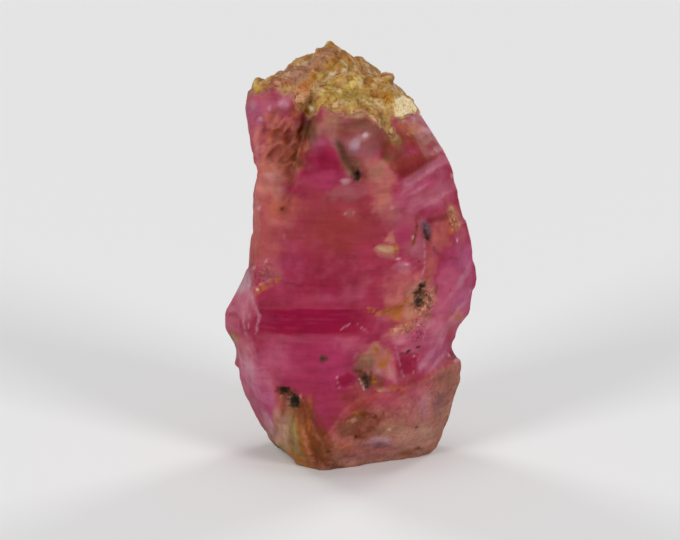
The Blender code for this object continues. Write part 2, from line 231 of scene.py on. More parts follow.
def thread(side, route, half_width, ragged=0.05, broken=True):
    """How much each point belongs to a thin line through the route's points, broken here and there."""
    across, height, facing = side
    here = np.stack((across + warp_across * ragged, height + warp_up * ragged), axis=1)
    nearest = np.full(len(here), 9.0)
    for start, end in zip(route, route[1:]):
        start, run = np.array(start), np.subtract(end, start)
        share = np.clip((here - start) @ run / (run @ run), 0.0, 1.0)
        nearest = np.minimum(nearest, np.linalg.norm(here - start - share[:, None] * run, axis=1))
    whole = (1.0 - fade(nearest, 0.3 * half_width, 1.6 * half_width)) * facing
    return whole * fade(frayed, -0.5, 0.2) if broken else whole


def blend(name, share):
    """Lays a colour of the palette over the tint, by a share for each point."""
    global tint
    tint = tint + (TINTS[name] - tint) * share[:, None]


# The corners of the one pale flat grain at the crust's right edge, across and up.
CREAM_GRAIN = [
    (2.2, 16.72), (3.25, 16.95), (3.3, 17.2), (2.95, 17.6), (2.55, 17.8), (2.2, 17.65), (2.03, 17.4),
]

SHOULDER = (-5.4, 18.75)  # the middle of the roof's left end, across and up
SHOULDER_MOVE = np.array((0.28, 0.0, -0.2))


def round_shoulder(points):
    """Wears the roof's left end round by moving its points inward and down."""
    away = np.hypot((points[:, 0] - SHOULDER[0]) / 0.9, (points[:, 2] - SHOULDER[1]) / 1.1)
    share = fade(1.0 - away, 0.0, 0.9)
    return points + share[:, None] * SHOULDER_MOVE


def crust_cover(points, normals, side):
    """How far each point is under the crust: all of the roof behind, and to a ragged edge in front."""
    cover = fade(points[:, 2] + 1.2 * normals[:, 2] + 0.5 * rough(points, 1.0, 8.0), 17.9, 18.6)
    behind = points[:, 1] + 1.6 * fade(normals[:, 1], -0.2, 0.3)
    cover *= fade(behind + 0.3 * rough(points, 0.8, 9.0), -1.0, -0.4)
    for place in [
        (-0.35, 18.3, 2.0, 1.6), (-0.4, 19.6, 1.6, 1.1), (-2.2, 19.0, 1.9, 0.9, 33),
        (1.5, 17.8, 1.7, 1.3, -35), (-4.5, 18.45, 0.65, 0.5, 20), (1.7, 16.5, 0.34, 1.15, 30),
        (-2.1, 17.7, 0.9, 1.0, 20), (-3.4, 18.5, 0.8, 0.3, 15),
    ]:
        cover = np.maximum(cover, mark(side, *place, soft=0.3, ragged=0.3, fray=0.06))
    return np.maximum(cover, facet(side, CREAM_GRAIN, 0.12) * (1.0 - fade(points[:, 1], -0.6, -0.2)))


warp_across, warp_up, frayed = wander(points)

# The ruby all round: raspberry, clouded in lilac and rose veils and stained here and there, in layers.
layer_noise = rough(points, (4.0, 4.0, 0.7), 22.0)
tint = np.tile(TINTS["raspberry"], (len(points), 1))
blend("rose", 0.7 * fade(rough(points, 2.6, 21.0) + 0.4 * layer_noise, -0.1, 0.7))
blend("lilac", 0.6 * fade(rough(points, 3.2, 23.0) + 0.3 * layer_noise, 0.1, 0.7))
blend("crimson", 0.7 * fade(rough(points, 2.2, 25.0) - 0.5 * layer_noise, 0.25, 0.7))
blend("coral", 0.6 * fade(rough(points, 2.4, 24.0), 0.15, 0.6))
grit = np.zeros(len(points))  # 0 is waxy ruby, and 1 is dry opaque grain
jagged = np.zeros(len(points))  # where the surface is broken into tiny facets

# The sides and the back hold the same kinds of veil, stain and grain as the front, and painted glints in a
# chalky
# white, strewn by lot: colour, how many on a side, strength, half widths and half heights from and to, and
# the most they turn.
SIDE_MARKS = [
    ("lilac", 3, 0.6, 0.8, 2.0, 0.8, 1.6, 40),
    ("magenta", 4, 0.8, 0.8, 2.2, 0.8, 1.8, 40),
    ("salmon", 4, 0.8, 0.6, 1.8, 0.5, 1.4, 40),
    ("coral", 3, 0.8, 0.8, 1.8, 0.6, 1.4, 40),
    ("dusk", 3, 0.8, 0.8, 1.6, 0.6, 1.4, 40),
    ("brick", 3, 0.7, 0.5, 1.4, 0.3, 0.9, 30),
    ("peach", 4, 0.8, 0.3, 0.9, 0.3, 0.9, 40),
    ("fawn", 3, 0.8, 0.4, 1.0, 0.3, 0.8, 40),
    ("amber", 4, 0.8, 0.2, 0.6, 0.12, 0.3, 40),
    ("milk", 9, 0.4, 0.6, 1.8, 0.08, 0.2, 35),
    ("rust", 4, 0.8, 0.15, 0.5, 0.1, 0.4, 50),
    ("umber", 5, 0.8, 0.12, 0.4, 0.12, 0.45, 50),
    ("soot", 7, 0.9, 0.06, 0.2, 0.06, 0.25, 50),
    ("chalk", 7, 0.8, 0.05, 0.12, 0.05, 0.12, 50),
]
# Straight bands of clear ruby on them: azimuth of the side, then place and turn.
SIDE_BANDS = [
    (90, -0.8, 9.4, 2.2, 0.45, 3), (90, 1.2, 5.6, 1.6, 0.3, 3), (180, -0.5, 12.4, 3.0, 0.5, -3),
    (180, 1.0, 6.6, 2.6, 0.55, -3), (270, 0.4, 8.6, 2.0, 0.45, 2), (270, -0.8, 13.6, 1.6, 0.35, 2),
]
STREWN_ACROSS = 4.8  # how far out on a side marks are strewn, in mm
STREWN_UP = (0.8, 17.6)  # and between which heights
draw = np.random.default_rng(5)
unseen = 1.0 - fade(-normals[:, 1], 0.0, 0.25)  # 1 where the surface turns away from the front
dents = np.zeros(len(points))
for azimuth, *place in SIDE_BANDS:
    share = mark(side_plane(azimuth), *place, 0.12, 0.08, panel=True) * unseen
    blend("crimson", 0.85 * share)
for azimuth in (90, 180, 270):
    side = side_plane(azimuth)
    for name, count, strength, wide_from, wide_to, high_from, high_to, turn in SIDE_MARKS:
        for _ in range(count):
            x, up = draw.uniform(-STREWN_ACROSS, STREWN_ACROSS), draw.uniform(*STREWN_UP)
            half_x, half_up = draw.uniform(wide_from, wide_to), draw.uniform(high_from, high_to)
            share = unseen * mark(side, x, up, half_x, half_up, draw.uniform(-turn, turn))
            blend(name, strength * share)
            if name in ("rust", "umber", "soot"):
                grit = np.maximum(grit, 0.8 * share)
                dents = np.maximum(dents, share)
            if name in ("peach", "amber"):
                jagged = np.maximum(jagged, 0.6 * share)

# The front, from the top down: colour, strength, across, up, half width, half height, turn if any.
front = side_plane(0.0)
mottled = 0.85 + 0.45 * rough(points, 0.5, 36.0, 4)
SKIRT_EDGE = [
    (-1.7, -0.6), (-1.3, 0.8), (-0.7, 1.6), (-0.1, 2.3), (0.4, 2.85),
    (2.2, 3.1), (3.5, 3.6), (4.5, 4.2), (5.6, 4.7),
]
skirt_top = np.interp(front[0], *zip(*SKIRT_EDGE)) + 0.2 * warp_up + 0.06 * frayed
skirt = (1.0 - fade(front[1] - skirt_top, -0.08, 0.08)) * fade(front[0], -1.7, -1.3) * front[2]
inner_skirt = skirt * (1.0 - fade(front[1] - skirt_top + 0.3 * warp_across, -1.1, -0.3))
skirt_rim = skirt * fade(front[1] - skirt_top, -0.3, -0.12)

FRONT_TINTS = [
    ("raspberry", 1.0, 0.0, 9.5, 7.2, 12.5), ("cherry", 0.9, -0.6, 11.6, 4.5, 2.6),
    ("dusk", 0.8, -0.2, 13.0, 1.7, 0.7, 10), ("dusk", 0.8, 2.2, 12.0, 1.4, 1.3),
    # set-back left flank
    ("lilac", 0.7, -4.8, 17.0, 0.7, 1.3), ("violet", 0.4, -4.8, 17.2, 0.5, 0.7),
    ("lilac", 0.7, -4.0, 17.3, 0.7, 0.6), ("magenta", 1.0, -3.5, 18.05, 0.65, 0.5, 10),
    ("milk", 0.6, -3.4, 17.5, 0.35, 0.4), ("coral", 0.9, -3.9, 16.75, 0.7, 0.25, 25),
    ("brick", 1.0, -3.35, 15.5, 1.2, 1.8, 8), ("coral", 0.9, -3.7, 14.4, 0.9, 0.9, 8),
    ("salmon", 0.8, -3.7, 13.9, 0.8, 0.6, 8), ("salmon", 0.8, -4.35, 14.5, 0.5, 0.8, 8),
    ("claret", 0.4, -4.3, 16.1, 0.5, 0.5), ("rose", 0.8, -4.6, 15.4, 0.4, 1.1, 8),
    ("coral", 0.7, -3.7, 15.1, 0.7, 0.8, 20), ("rust", 0.9, -2.6, 15.7, 0.45, 1.6, -10),
    ("orange", 0.5, -3.2, 14.5, 0.6, 0.5, 30), ("coral", 0.5, -3.5, 15.2, 0.5, 1.5, 8),
    # painted shade, over a brown stain: the sienna, umber and soot marks from -2.7 to -1.8 across and 14.5
    # to 16.5 up darken the cleft where the flank is set back
    ("milk", 0.6, -4.7, 15.2, 0.16, 1.0, 6), ("sienna", 1.0, -1.95, 15.8, 0.65, 1.3, -12),
    ("umber", 0.9, -1.9, 16.1, 0.42, 0.8, -12), ("sienna", 0.8, -1.9, 15.2, 0.5, 0.7, -12),
    ("umber", 0.8, -1.95, 15.4, 0.4, 0.6, -12), ("sienna", 0.7, -2.65, 14.6, 0.4, 0.9, -12),
    ("umber", 0.9, -2.05, 16.4, 0.45, 0.8, -17), ("soot", 0.5, -2.1, 16.5, 0.2, 0.5, -17),
    ("sienna", 0.8, -1.8, 16.3, 0.35, 0.55, -12), ("salmon", 0.6, -2.95, 17.9, 0.35, 0.5),
    ("rust", 0.6, -2.9, 17.2, 0.35, 0.5), ("cocoa", 0.5, -3.6, 17.15, 0.6, 0.2, 25),
    ("mist", 0.35, -4.9, 17.4, 0.3, 0.5), ("orange", 0.25, -2.5, 15.2, 0.25, 0.9, -10),
    ("sienna", 0.8, -2.7, 14.5, 0.35, 0.6), ("orange", 0.5, -2.7, 16.9, 0.4, 0.4),
    ("rust", 0.8, -2.95, 13.9, 0.3, 0.5), ("salmon", 1.0, -4.0, 13.2, 1.1, 1.1, 10),
    ("milk", 0.35, -4.0, 13.8, 0.6, 0.22, -10),
    # top of the front
    ("dusk", 1.0, 0.5, 15.9, 1.9, 1.3), ("fawn", 0.9, -0.9, 16.4, 1.0, 0.8),
    ("peach", 0.7, -1.0, 16.7, 0.6, 0.5), ("sienna", 0.5, -0.3, 16.1, 0.6, 0.5),
    ("sienna", 0.7, 0.7, 16.5, 1.3, 0.45, -5), ("cocoa", 0.6, 0.6, 16.2, 1.1, 0.5, -5),
    ("sienna", 0.4, 0.4, 16.0, 2.4, 0.6), ("sienna", 0.4, 0.9, 15.5, 1.0, 0.6),
    ("umber", 0.25, -1.0, 16.1, 0.7, 0.4), ("tan", 1.0, 0.5, 17.0, 0.9, 0.4, -5),
    ("dusk", 1.0, 0.8, 15.0, 0.8, 0.9), ("sienna", 0.9, 2.1, 15.4, 0.8, 1.2, 25),
    ("bronze", 0.8, 2.05, 15.9, 0.38, 1.1, 28), ("sienna", 1.0, 2.1, 14.5, 0.7, 0.6),
    ("cocoa", 0.5, 2.1, 16.1, 0.5, 0.5), ("claret", 0.7, -1.1, 14.4, 0.9, 0.7),
    ("claret", 0.8, -1.3, 15.3, 0.6, 0.4), ("claret", 0.6, -2.0, 14.6, 0.5, 0.8),
    ("magenta", 0.9, -1.35, 14.9, 1.0, 1.05, 10), ("claret", 0.5, -1.05, 14.7, 0.6, 0.9, 15),
    ("lilac", 0.4, -1.6, 15.45, 0.6, 0.3), ("crimson", 0.9, -1.35, 14.7, 0.5, 0.6, 10),
    ("magenta", 0.8, -1.2, 13.7, 1.3, 0.6), ("cocoa", 0.8, 0.1, 14.3, 0.7, 1.1, 20),
    ("olive", 0.4, -0.2, 14.2, 0.35, 0.5, 20), ("smoke", 0.7, -0.75, 15.45, 0.3, 0.35),
    ("smoke", 0.6, 0.15, 15.3, 0.4, 0.6, -25), ("mist", 0.45, 0.25, 15.5, 0.3, 0.55, -35),
    ("cocoa", 0.7, -0.3, 14.9, 0.5, 1.2, 26), ("umber", 0.75, -0.42, 15.1, 0.3, 0.9, 26),
    ("umber", 0.7, 0.0, 14.3, 0.3, 0.6, 24), ("soot", 0.35, -0.45, 15.15, 0.2, 0.7, 26),
    # painted highlight: the chalky white spot inside the milky one below the crust is a glint
    ("milk", 0.5, 0.75, 15.8, 0.4, 0.25, 35), ("chalk", 0.7, 0.75, 15.85, 0.22, 0.15, 35),
    ("salmon", 0.6, 1.4, 14.2, 0.9, 0.9, 20), ("salmon", 0.6, 1.5, 13.6, 1.1, 1.7, 18),
    ("fawn", 0.6, 1.3, 14.0, 0.6, 0.8, 10), ("cocoa", 0.5, 1.1, 14.0, 0.9, 0.9, 15),
    ("sienna", 0.4, 0.55, 13.7, 0.5, 0.5, 20), ("peach", 0.3, 1.8, 13.0, 0.5, 1.1, 25),
    ("salmon", 0.5, 1.9, 12.2, 1.0, 0.9), ("mist", 0.7, -0.25, 13.55, 0.4, 0.22),
    # right shoulder, and the milky bands that run up across it
    ("brick", 1.0, 3.3, 15.8, 1.7, 1.1, -35), ("coral", 0.8, 3.0, 16.3, 1.0, 0.6, -30),
    ("orange", 0.5, 3.0, 16.2, 0.9, 0.5, -30), ("rust", 0.4, 3.3, 15.7, 1.0, 0.4, -35),
    ("brick", 0.7, 3.9, 15.5, 1.0, 0.5, -50), ("rose", 1.0, 3.7, 13.0, 1.9, 1.3, 28),
    ("magenta", 0.5, 4.0, 13.5, 0.9, 0.3, 28), ("cherry", 0.5, 3.9, 12.9, 0.9, 0.5, 28),
    ("milk", 0.35, 3.7, 13.9, 1.6, 0.14, 30), ("milk", 0.3, 4.2, 12.6, 1.4, 0.16, 30),
    ("milk", 0.3, 3.3, 13.1, 1.0, 0.12, 30), ("magenta", 0.9, 4.2, 14.7, 0.5, 0.5),
    # middle
    # painted shade: the cherry at -5.1 across darkens the narrow strip along the left edge, which turns
    # towards the light from the left
    ("salmon", 0.9, -5.0, 12.3, 0.9, 2.4), ("cherry", 0.8, -5.1, 11.6, 0.5, 2.6),
    ("coral", 0.8, -4.9, 10.4, 0.7, 1.4), ("coral", 0.7, -3.9, 11.2, 1.3, 1.2),
    ("cherry", 0.6, -3.6, 10.6, 1.4, 1.0), ("coral", 0.6, -3.4, 12.1, 1.6, 1.1),
    ("orange", 0.3, -3.5, 12.3, 1.1, 0.7), ("cherry", 0.5, -2.5, 12.1, 0.8, 0.8),
    ("brick", 0.5, -0.6, 11.0, 1.8, 1.3), ("coral", 0.7, -4.2, 9.8, 1.0, 1.5),
    ("dusk", 0.6, -4.0, 8.9, 0.8, 0.5, -20), ("claret", 0.35, -0.9, 8.9, 2.0, 1.5),
    ("rose", 0.5, 0.2, 8.1, 0.9, 0.6), ("salmon", 0.2, 0.0, 11.85, 0.7, 0.4),
    ("rose", 0.3, 2.9, 10.6, 1.2, 1.9), ("dusk", 0.5, 3.3, 10.6, 1.0, 1.0),
    ("salmon", 0.45, 2.5, 8.5, 1.2, 1.1, 10), ("magenta", 0.8, 2.6, 11.0, 0.45, 0.8),
    ("milk", 0.2, 3.4, 10.2, 0.5, 0.9), ("milk", 0.3, 2.6, 9.3, 0.8, 0.4),
    ("coral", 0.9, 4.5, 10.9, 0.9, 1.2, -15), ("coral", 0.9, 4.0, 9.2, 0.45, 1.5),
    ("orange", 0.5, 5.1, 11.7, 0.6, 0.95, 22), ("peach", 0.7, 5.2, 11.7, 0.45, 0.9, 22),
    ("amber", 0.5, 5.15, 11.5, 0.3, 0.7, 22), ("lilac", 0.7, 5.3, 8.4, 1.2, 2.8, -5),
    ("magenta", 0.6, 4.9, 8.9, 0.8, 1.6, -20), ("milk", 0.4, 5.6, 8.7, 0.2, 1.1, -25),
    ("milk", 0.35, 5.0, 7.9, 0.16, 1.5, -35), ("milk", 0.3, 5.3, 7.0, 0.14, 1.2, -40),
    ("rose", 0.9, 4.2, 6.0, 1.1, 0.9, 20), ("rose", 0.2, -1.2, 7.7, 2.6, 0.4, 2),
    ("crimson", 0.35, -1.6, 8.1, 1.8, 0.6, 2), ("rose", 0.9, 4.4, 7.0, 0.9, 2.0, -5),
    ("pink", 0.5, 4.3, 6.2, 0.8, 1.0), ("rose", 0.8, 5.0, 8.7, 0.7, 1.0),
    ("pink", 0.6, 5.4, 6.6, 0.5, 0.8),
    # round the brown pit
    ("salmon", 1.0, 3.2, 7.7, 1.1, 1.6, -15), ("peach", 0.8, 3.4, 7.5, 0.85, 1.3, -15),
    ("orange", 0.6, 2.3, 7.1, 1.0, 0.55, 20), ("orange", 0.9, 2.5, 6.9, 0.5, 0.5),
    ("rust", 0.5, 2.3, 7.1, 0.5, 0.25, 20), ("salmon", 0.6, 2.1, 7.6, 0.7, 0.5, 10),
    ("peach", 0.7, 2.8, 6.2, 1.0, 0.5, 20),
    # left lobe
    ("rose", 1.0, -5.7, 7.2, 1.0, 2.0, -25), ("pink", 0.8, -5.2, 8.0, 0.6, 1.2, -20),
    ("mist", 0.9, -5.4, 8.5, 0.5, 0.9, -30), ("rose", 0.9, -5.5, 7.5, 0.6, 0.6),
    ("claret", 0.6, -5.85, 6.9, 0.35, 0.25), ("raspberry", 0.7, -5.3, 6.5, 0.5, 0.6),
    ("rust", 0.6, -5.85, 5.8, 0.4, 0.4, 30), ("bronze", 0.9, -5.75, 5.65, 0.3, 0.35, 40),
    ("umber", 0.7, -5.65, 4.75, 0.25, 0.5),
    # body under the band
    ("magenta", 1.0, -2.0, 4.6, 3.4, 2.0), ("rose", 0.4, -2.8, 4.1, 0.7, 0.4),
    ("lilac", 0.2, -3.3, 5.0, 1.9, 0.8), ("crimson", 0.45, -2.4, 5.0, 1.6, 0.8),
    ("rose", 0.9, -4.1, 4.5, 1.5, 1.4), ("raspberry", 0.5, -2.3, 3.6, 1.3, 0.9),
    ("pink", 0.8, -5.1, 4.3, 0.8, 2.0, 12), ("pink", 0.4, -4.2, 3.2, 0.7, 1.4, 25),
    ("pink", 0.5, -5.1, 7.2, 0.6, 1.0), ("rose", 0.7, 0.0, 5.5, 1.2, 0.6),
    ("magenta", 0.9, -0.6, 3.4, 0.9, 1.1), ("rose", 1.0, 3.3, 5.5, 1.5, 1.1, 10),
    ("pink", 0.7, 3.7, 6.45, 0.7, 0.5, 20), ("pink", 0.5, 4.5, 5.7, 0.6, 0.5),
    ("salmon", 0.5, 2.2, 5.85, 0.9, 0.35, 10), ("peach", 0.6, 2.5, 6.1, 0.9, 0.35, 25),
    ("pink", 0.7, 2.7, 5.7, 0.8, 0.35, 15), ("pink", 0.3, 2.9, 5.0, 0.5, 0.4),
    ("magenta", 0.6, 3.3, 5.8, 0.9, 0.35, 15), ("lilac", 0.7, 4.2, 4.9, 0.9, 1.4, -35),
    ("milk", 0.4, 4.0, 4.8, 0.16, 1.2, -32), ("milk", 0.4, 4.4, 4.6, 0.14, 1.1, -36),
    ("milk", 0.3, 3.7, 4.6, 0.14, 0.9, -30), ("lilac", 0.6, -4.5, 2.9, 0.9, 2.4, 25),
    ("milk", 0.5, -5.0, 4.2, 0.25, 1.1, 18), ("milk", 0.7, -3.9, 1.3, 0.5, 1.0, 30),
    ("mist", 0.7, -4.0, 0.8, 0.35, 0.4, 35), ("magenta", 0.8, -1.5, 2.1, 0.7, 1.1),
    # tan inclusion on the right of the body
    ("rose", 0.9, 1.3, 4.4, 1.7, 1.4, 15), ("fawn", 0.9, 1.2, 4.6, 1.2, 1.0, 15),
    ("peach", 0.7, 1.15, 5.2, 0.6, 0.4, 15), ("salmon", 0.8, 2.0, 4.3, 0.42, 1.1, 18),
    ("olive", 0.6, 0.7, 4.6, 0.7, 0.5, 10), ("cocoa", 0.8, 0.7, 4.2, 0.75, 0.4, -8),
    ("amber", 0.9, 1.6, 4.5, 0.38, 0.32), ("amber", 0.8, 1.35, 5.0, 0.15, 0.6, 25),
    ("amber", 0.6, 1.9, 4.9, 0.12, 0.7, -5), ("milk", 0.5, 2.1, 3.9, 0.2, 0.75, 20),
    ("sienna", 1.0, 1.05, 3.5, 1.1, 0.6), ("peach", 0.4, 1.6, 3.15, 0.6, 0.14, -5),
    # skirt, from its pinkish upper edge to its brown foot
    ("rose", 0.5, 3.3, 2.5, 0.8, 1.2), ("pink", 0.35, 3.5, 3.2, 0.35, 0.5, -20),
    ("milk", 0.4, 3.7, 2.4, 0.35, 1.0, -10), ("mauve", 0.7, 4.4, 2.7, 0.5, 0.6),
    ("cocoa", 0.4, 4.7, 3.8, 0.5, 0.6, -20), ("sand", 0.6, 4.75, 2.1, 0.25, 0.7, -25),
    ("mauve", 0.6, 4.3, 2.3, 0.35, 0.6, -10), ("sand", 0.5, 4.0, 0.8, 0.4, 0.6, -25),
    ("sand", 0.6, 3.4, 0.8, 1.8, 1.0, 10), ("brick", 0.8, 0.4, 2.8, 1.5, 0.7, 8),
    ("sienna", 1.0, 0.5, 1.5, 1.7, 1.1, 12), ("cocoa", 0.7, 0.0, 1.4, 1.2, 0.5, 30),
    ("tan", 0.5, 2.0, 1.2, 1.2, 0.5, 8), ("dusk", 0.6, 1.0, -0.25, 2.6, 0.3, 4),
    ("mist", 0.8, 1.5, 0.6, 0.95, 0.3, 2), ("mauve", 0.9, 1.45, 0.4, 0.75, 0.2, 2),
    ("orange", 0.4, -0.4, 0.2, 0.8, 0.7, 10), ("claret", 0.8, 5.2, 4.85, 0.35, 0.3, -30),
    # stain round the fibres under the low left pit
    ("sienna", 0.7, -3.4, 2.6, 0.6, 0.6), ("salmon", 0.6, -3.6, 1.9, 0.4, 0.7),
    ("sienna", 0.8, -2.3, 1.5, 1.4, 1.9, 8), ("rust", 0.9, -1.5, -0.1, 1.1, 1.1, 15),
    ("sienna", 0.9, -1.25, 0.6, 0.5, 0.9, 25), ("orange", 0.4, -3.5, 2.4, 0.25, 0.8, 12),
    ("orange", 0.5, -2.1, 2.3, 0.25, 0.9, -5), ("umber", 0.8, -2.8, 2.45, 0.55, 0.6),
    ("tan", 0.8, -3.5, 0.9, 0.45, 1.0, 15), ("cocoa", 0.6, -0.5, -0.1, 0.9, 0.5),
    ("bronze", 0.9, -2.7, -0.35, 1.1, 0.28, -38), ("amber", 0.6, -2.4, -0.45, 0.6, 0.2, -38),
]
blend("coral", 0.9 * skirt)
blend("rose", 0.6 * skirt * fade(rough(points, 0.8, 27.0), -0.2, 0.4))
blend("fawn", 0.9 * inner_skirt)
blend("cocoa", 0.3 * inner_skirt * fade(rough(points, 0.9, 28.0), 0.0, 0.5))
blend("coral", 0.35 * inner_skirt * fade(rough(points, 0.7, 29.0), 0.1, 0.5))
blend("fawn", 0.8 * skirt * fade(front[0], 3.4, 4.4))
blend("cocoa", 0.4 * skirt * fade(front[0], 3.8, 4.8))
for name, strength, *place in FRONT_TINTS:
    blend(name, np.minimum(strength * mark(front, *place) * mottled, 1.0))
blend("peach", 0.15 * skirt_rim * fade(frayed, -0.3, 0.3))
grit = np.maximum(grit, 0.35 * inner_skirt)

# Faces with straight edges, where the stone broke along its planes: colour, strength, softness, corners.
FRONT_FACES = [
    ("brick", 0.85, 0.1, [
        (1.9, 14.2), (2.6, 13.7), (2.8, 13.75), (4.3, 14.6), (4.45, 14.95), (3.2, 14.95), (1.95, 14.5),
    ]),
    ("claret", 0.5, 0.2, [(2.2, 14.1), (2.7, 13.75), (4.3, 14.6), (3.6, 14.7)]),
    ("claret", 0.6, 0.2, [(3.7, 11.35), (5.0, 11.7), (5.0, 12.0), (3.8, 11.75)]),
    ("milk", 0.24, 0.25, [(2.6, 12.95), (5.1, 14.75), (4.5, 14.85), (2.65, 13.65)]),
    ("milk", 0.15, 0.3, [(2.9, 12.0), (5.4, 13.3), (5.3, 13.8), (2.9, 12.6)]),
    ("crimson", 0.5, 0.15, [(-2.4, 13.9), (-0.6, 14.2), (-0.9, 15.5), (-1.9, 15.2)]),
    ("raspberry", 0.9, 0.1, [(2.3, 4.3), (2.5, 3.5), (3.25, 3.9), (3.4, 4.95), (2.5, 5.0)]),
    ("crimson", 0.5, 0.12, [(2.4, 4.3), (2.6, 3.8), (3.15, 4.05), (3.3, 4.8), (2.6, 4.75)]),
    ("cherry", 0.6, 0.15, [(2.5, 3.4), (3.3, 3.5), (3.3, 3.95), (2.6, 3.8)]),
    ("crimson", 0.8, 0.08, [(-0.75, 3.3), (0.2, 3.35), (0.35, 3.75), (-0.1, 4.0), (-0.6, 3.75)]),
    ("fawn", 0.5, 0.15, [(1.15, 10.15), (1.4, 9.8), (2.2, 9.7), (2.45, 10.1), (2.3, 10.45), (1.4, 10.5)]),
    ("tan", 0.85, 0.12, [(1.2, 10.2), (2.1, 9.92), (2.28, 10.2), (2.0, 10.42), (1.3, 10.4)]),
    ("cream", 0.2, 0.12, [(1.3, 10.1), (1.9, 9.98), (2.1, 10.2), (1.4, 10.28)]),
    ("amber", 0.6, 0.12, [(2.1, 9.95), (2.4, 10.0), (2.4, 10.4), (2.15, 10.4)]),
    ("salmon", 0.7, 0.12, [(1.65, 10.55), (2.25, 10.45), (2.1, 11.05), (1.85, 10.95)]),
]
for name, strength, soft, corners in FRONT_FACES:
    blend(name, strength * facet(front, corners, soft))

# One straight-sided band of clear deep ruby lies across the body. It fades out towards the right.
sash = facet(front, [(-4.75, 5.86), (2.0, 6.0), (2.0, 7.2), (-4.72, 7.16)], 0.06)
sash *= 1.0 - fade(front[0], 0.2, 1.4)
under_sash = facet(front, [(-4.75, 5.72), (1.0, 5.85), (1.0, 6.0), (-4.75, 5.86)], 0.1)
streaks = rough(points, (2.5, 2.5, 0.07), 26.0)
blend(
    "crimson",
    0.95 * sash * (0.6 + 0.4 * fade(front[0], -4.6, -3.4)) * (1.0 - 0.3 * fade(front[0], -0.6, 0.4)),
)
blend("magenta", 0.35 * sash * fade(streaks, 0.15, 0.5))
blend("raspberry", 0.7 * under_sash)

# A fan of fibres spreads down from the low left pit: colour, half width, how far across its foot lies.
fan = facet(front, [(-4.3, -0.9), (-0.9, -0.9), (-1.5, 0.9), (-2.2, 2.5), (-3.1, 2.8), (-3.75, 1.5)], 0.5)
FAN_TOP = -2.75  # how far across the fibres start, in mm
FIBRE_RATE = 38.0  # in radians of the wave for each radian of the fan, so about 6 fibres in each
fibre_turn = np.arctan2(front[0] - FAN_TOP, 3.6 - front[1])
fibres = 0.5 + 0.5 * np.sin(fibre_turn * FIBRE_RATE + 3.0 * warp_across)
blend("sienna", 0.8 * fan)
for name, strength, half_width, foot_x in [
    ("fawn", 0.7, 0.34, -4.2), ("sand", 0.8, 0.3, -3.8), ("tan", 0.6, 0.26, -3.4),
    ("bronze", 0.5, 0.3, -2.9), ("bronze", 0.6, 0.26, -2.5), ("tan", 0.35, 0.06, -2.8),
    ("umber", 0.2, 0.08, -2.4), ("amber", 0.5, 0.2, -2.1), ("orange", 0.5, 0.26, -1.75),
    ("sienna", 0.9, 0.2, -1.35), ("rust", 0.9, 0.24, -1.1), ("umber", 0.2, 0.08, -3.3),
    ("salmon", 0.3, 0.06, -1.95),
]:
    route = [(FAN_TOP, 2.7), (0.5 * foot_x - 1.3, 1.0), (foot_x, -0.7)]
    blend(name, strength * fan * thread(front, route, half_width, broken=False))
blend("sand", 0.2 * fan * fade(fibres, 0.6, 1.0))
blend("umber", 0.12 * fan * (1.0 - fade(fibres, 0.0, 0.4)))
blend("sienna", 0.55 * fan * fade(front[1], 1.2, 2.2))
blend("orange", 0.8 * mark(front, -2.05, 1.35, 0.14, 0.45, 8))
blend("umber", 0.4 * mark(front, -1.6, 0.1, 0.4, 0.6, 20))
blend("sand", 0.5 * mark(front, -3.6, 1.6, 0.3, 0.8, 10))

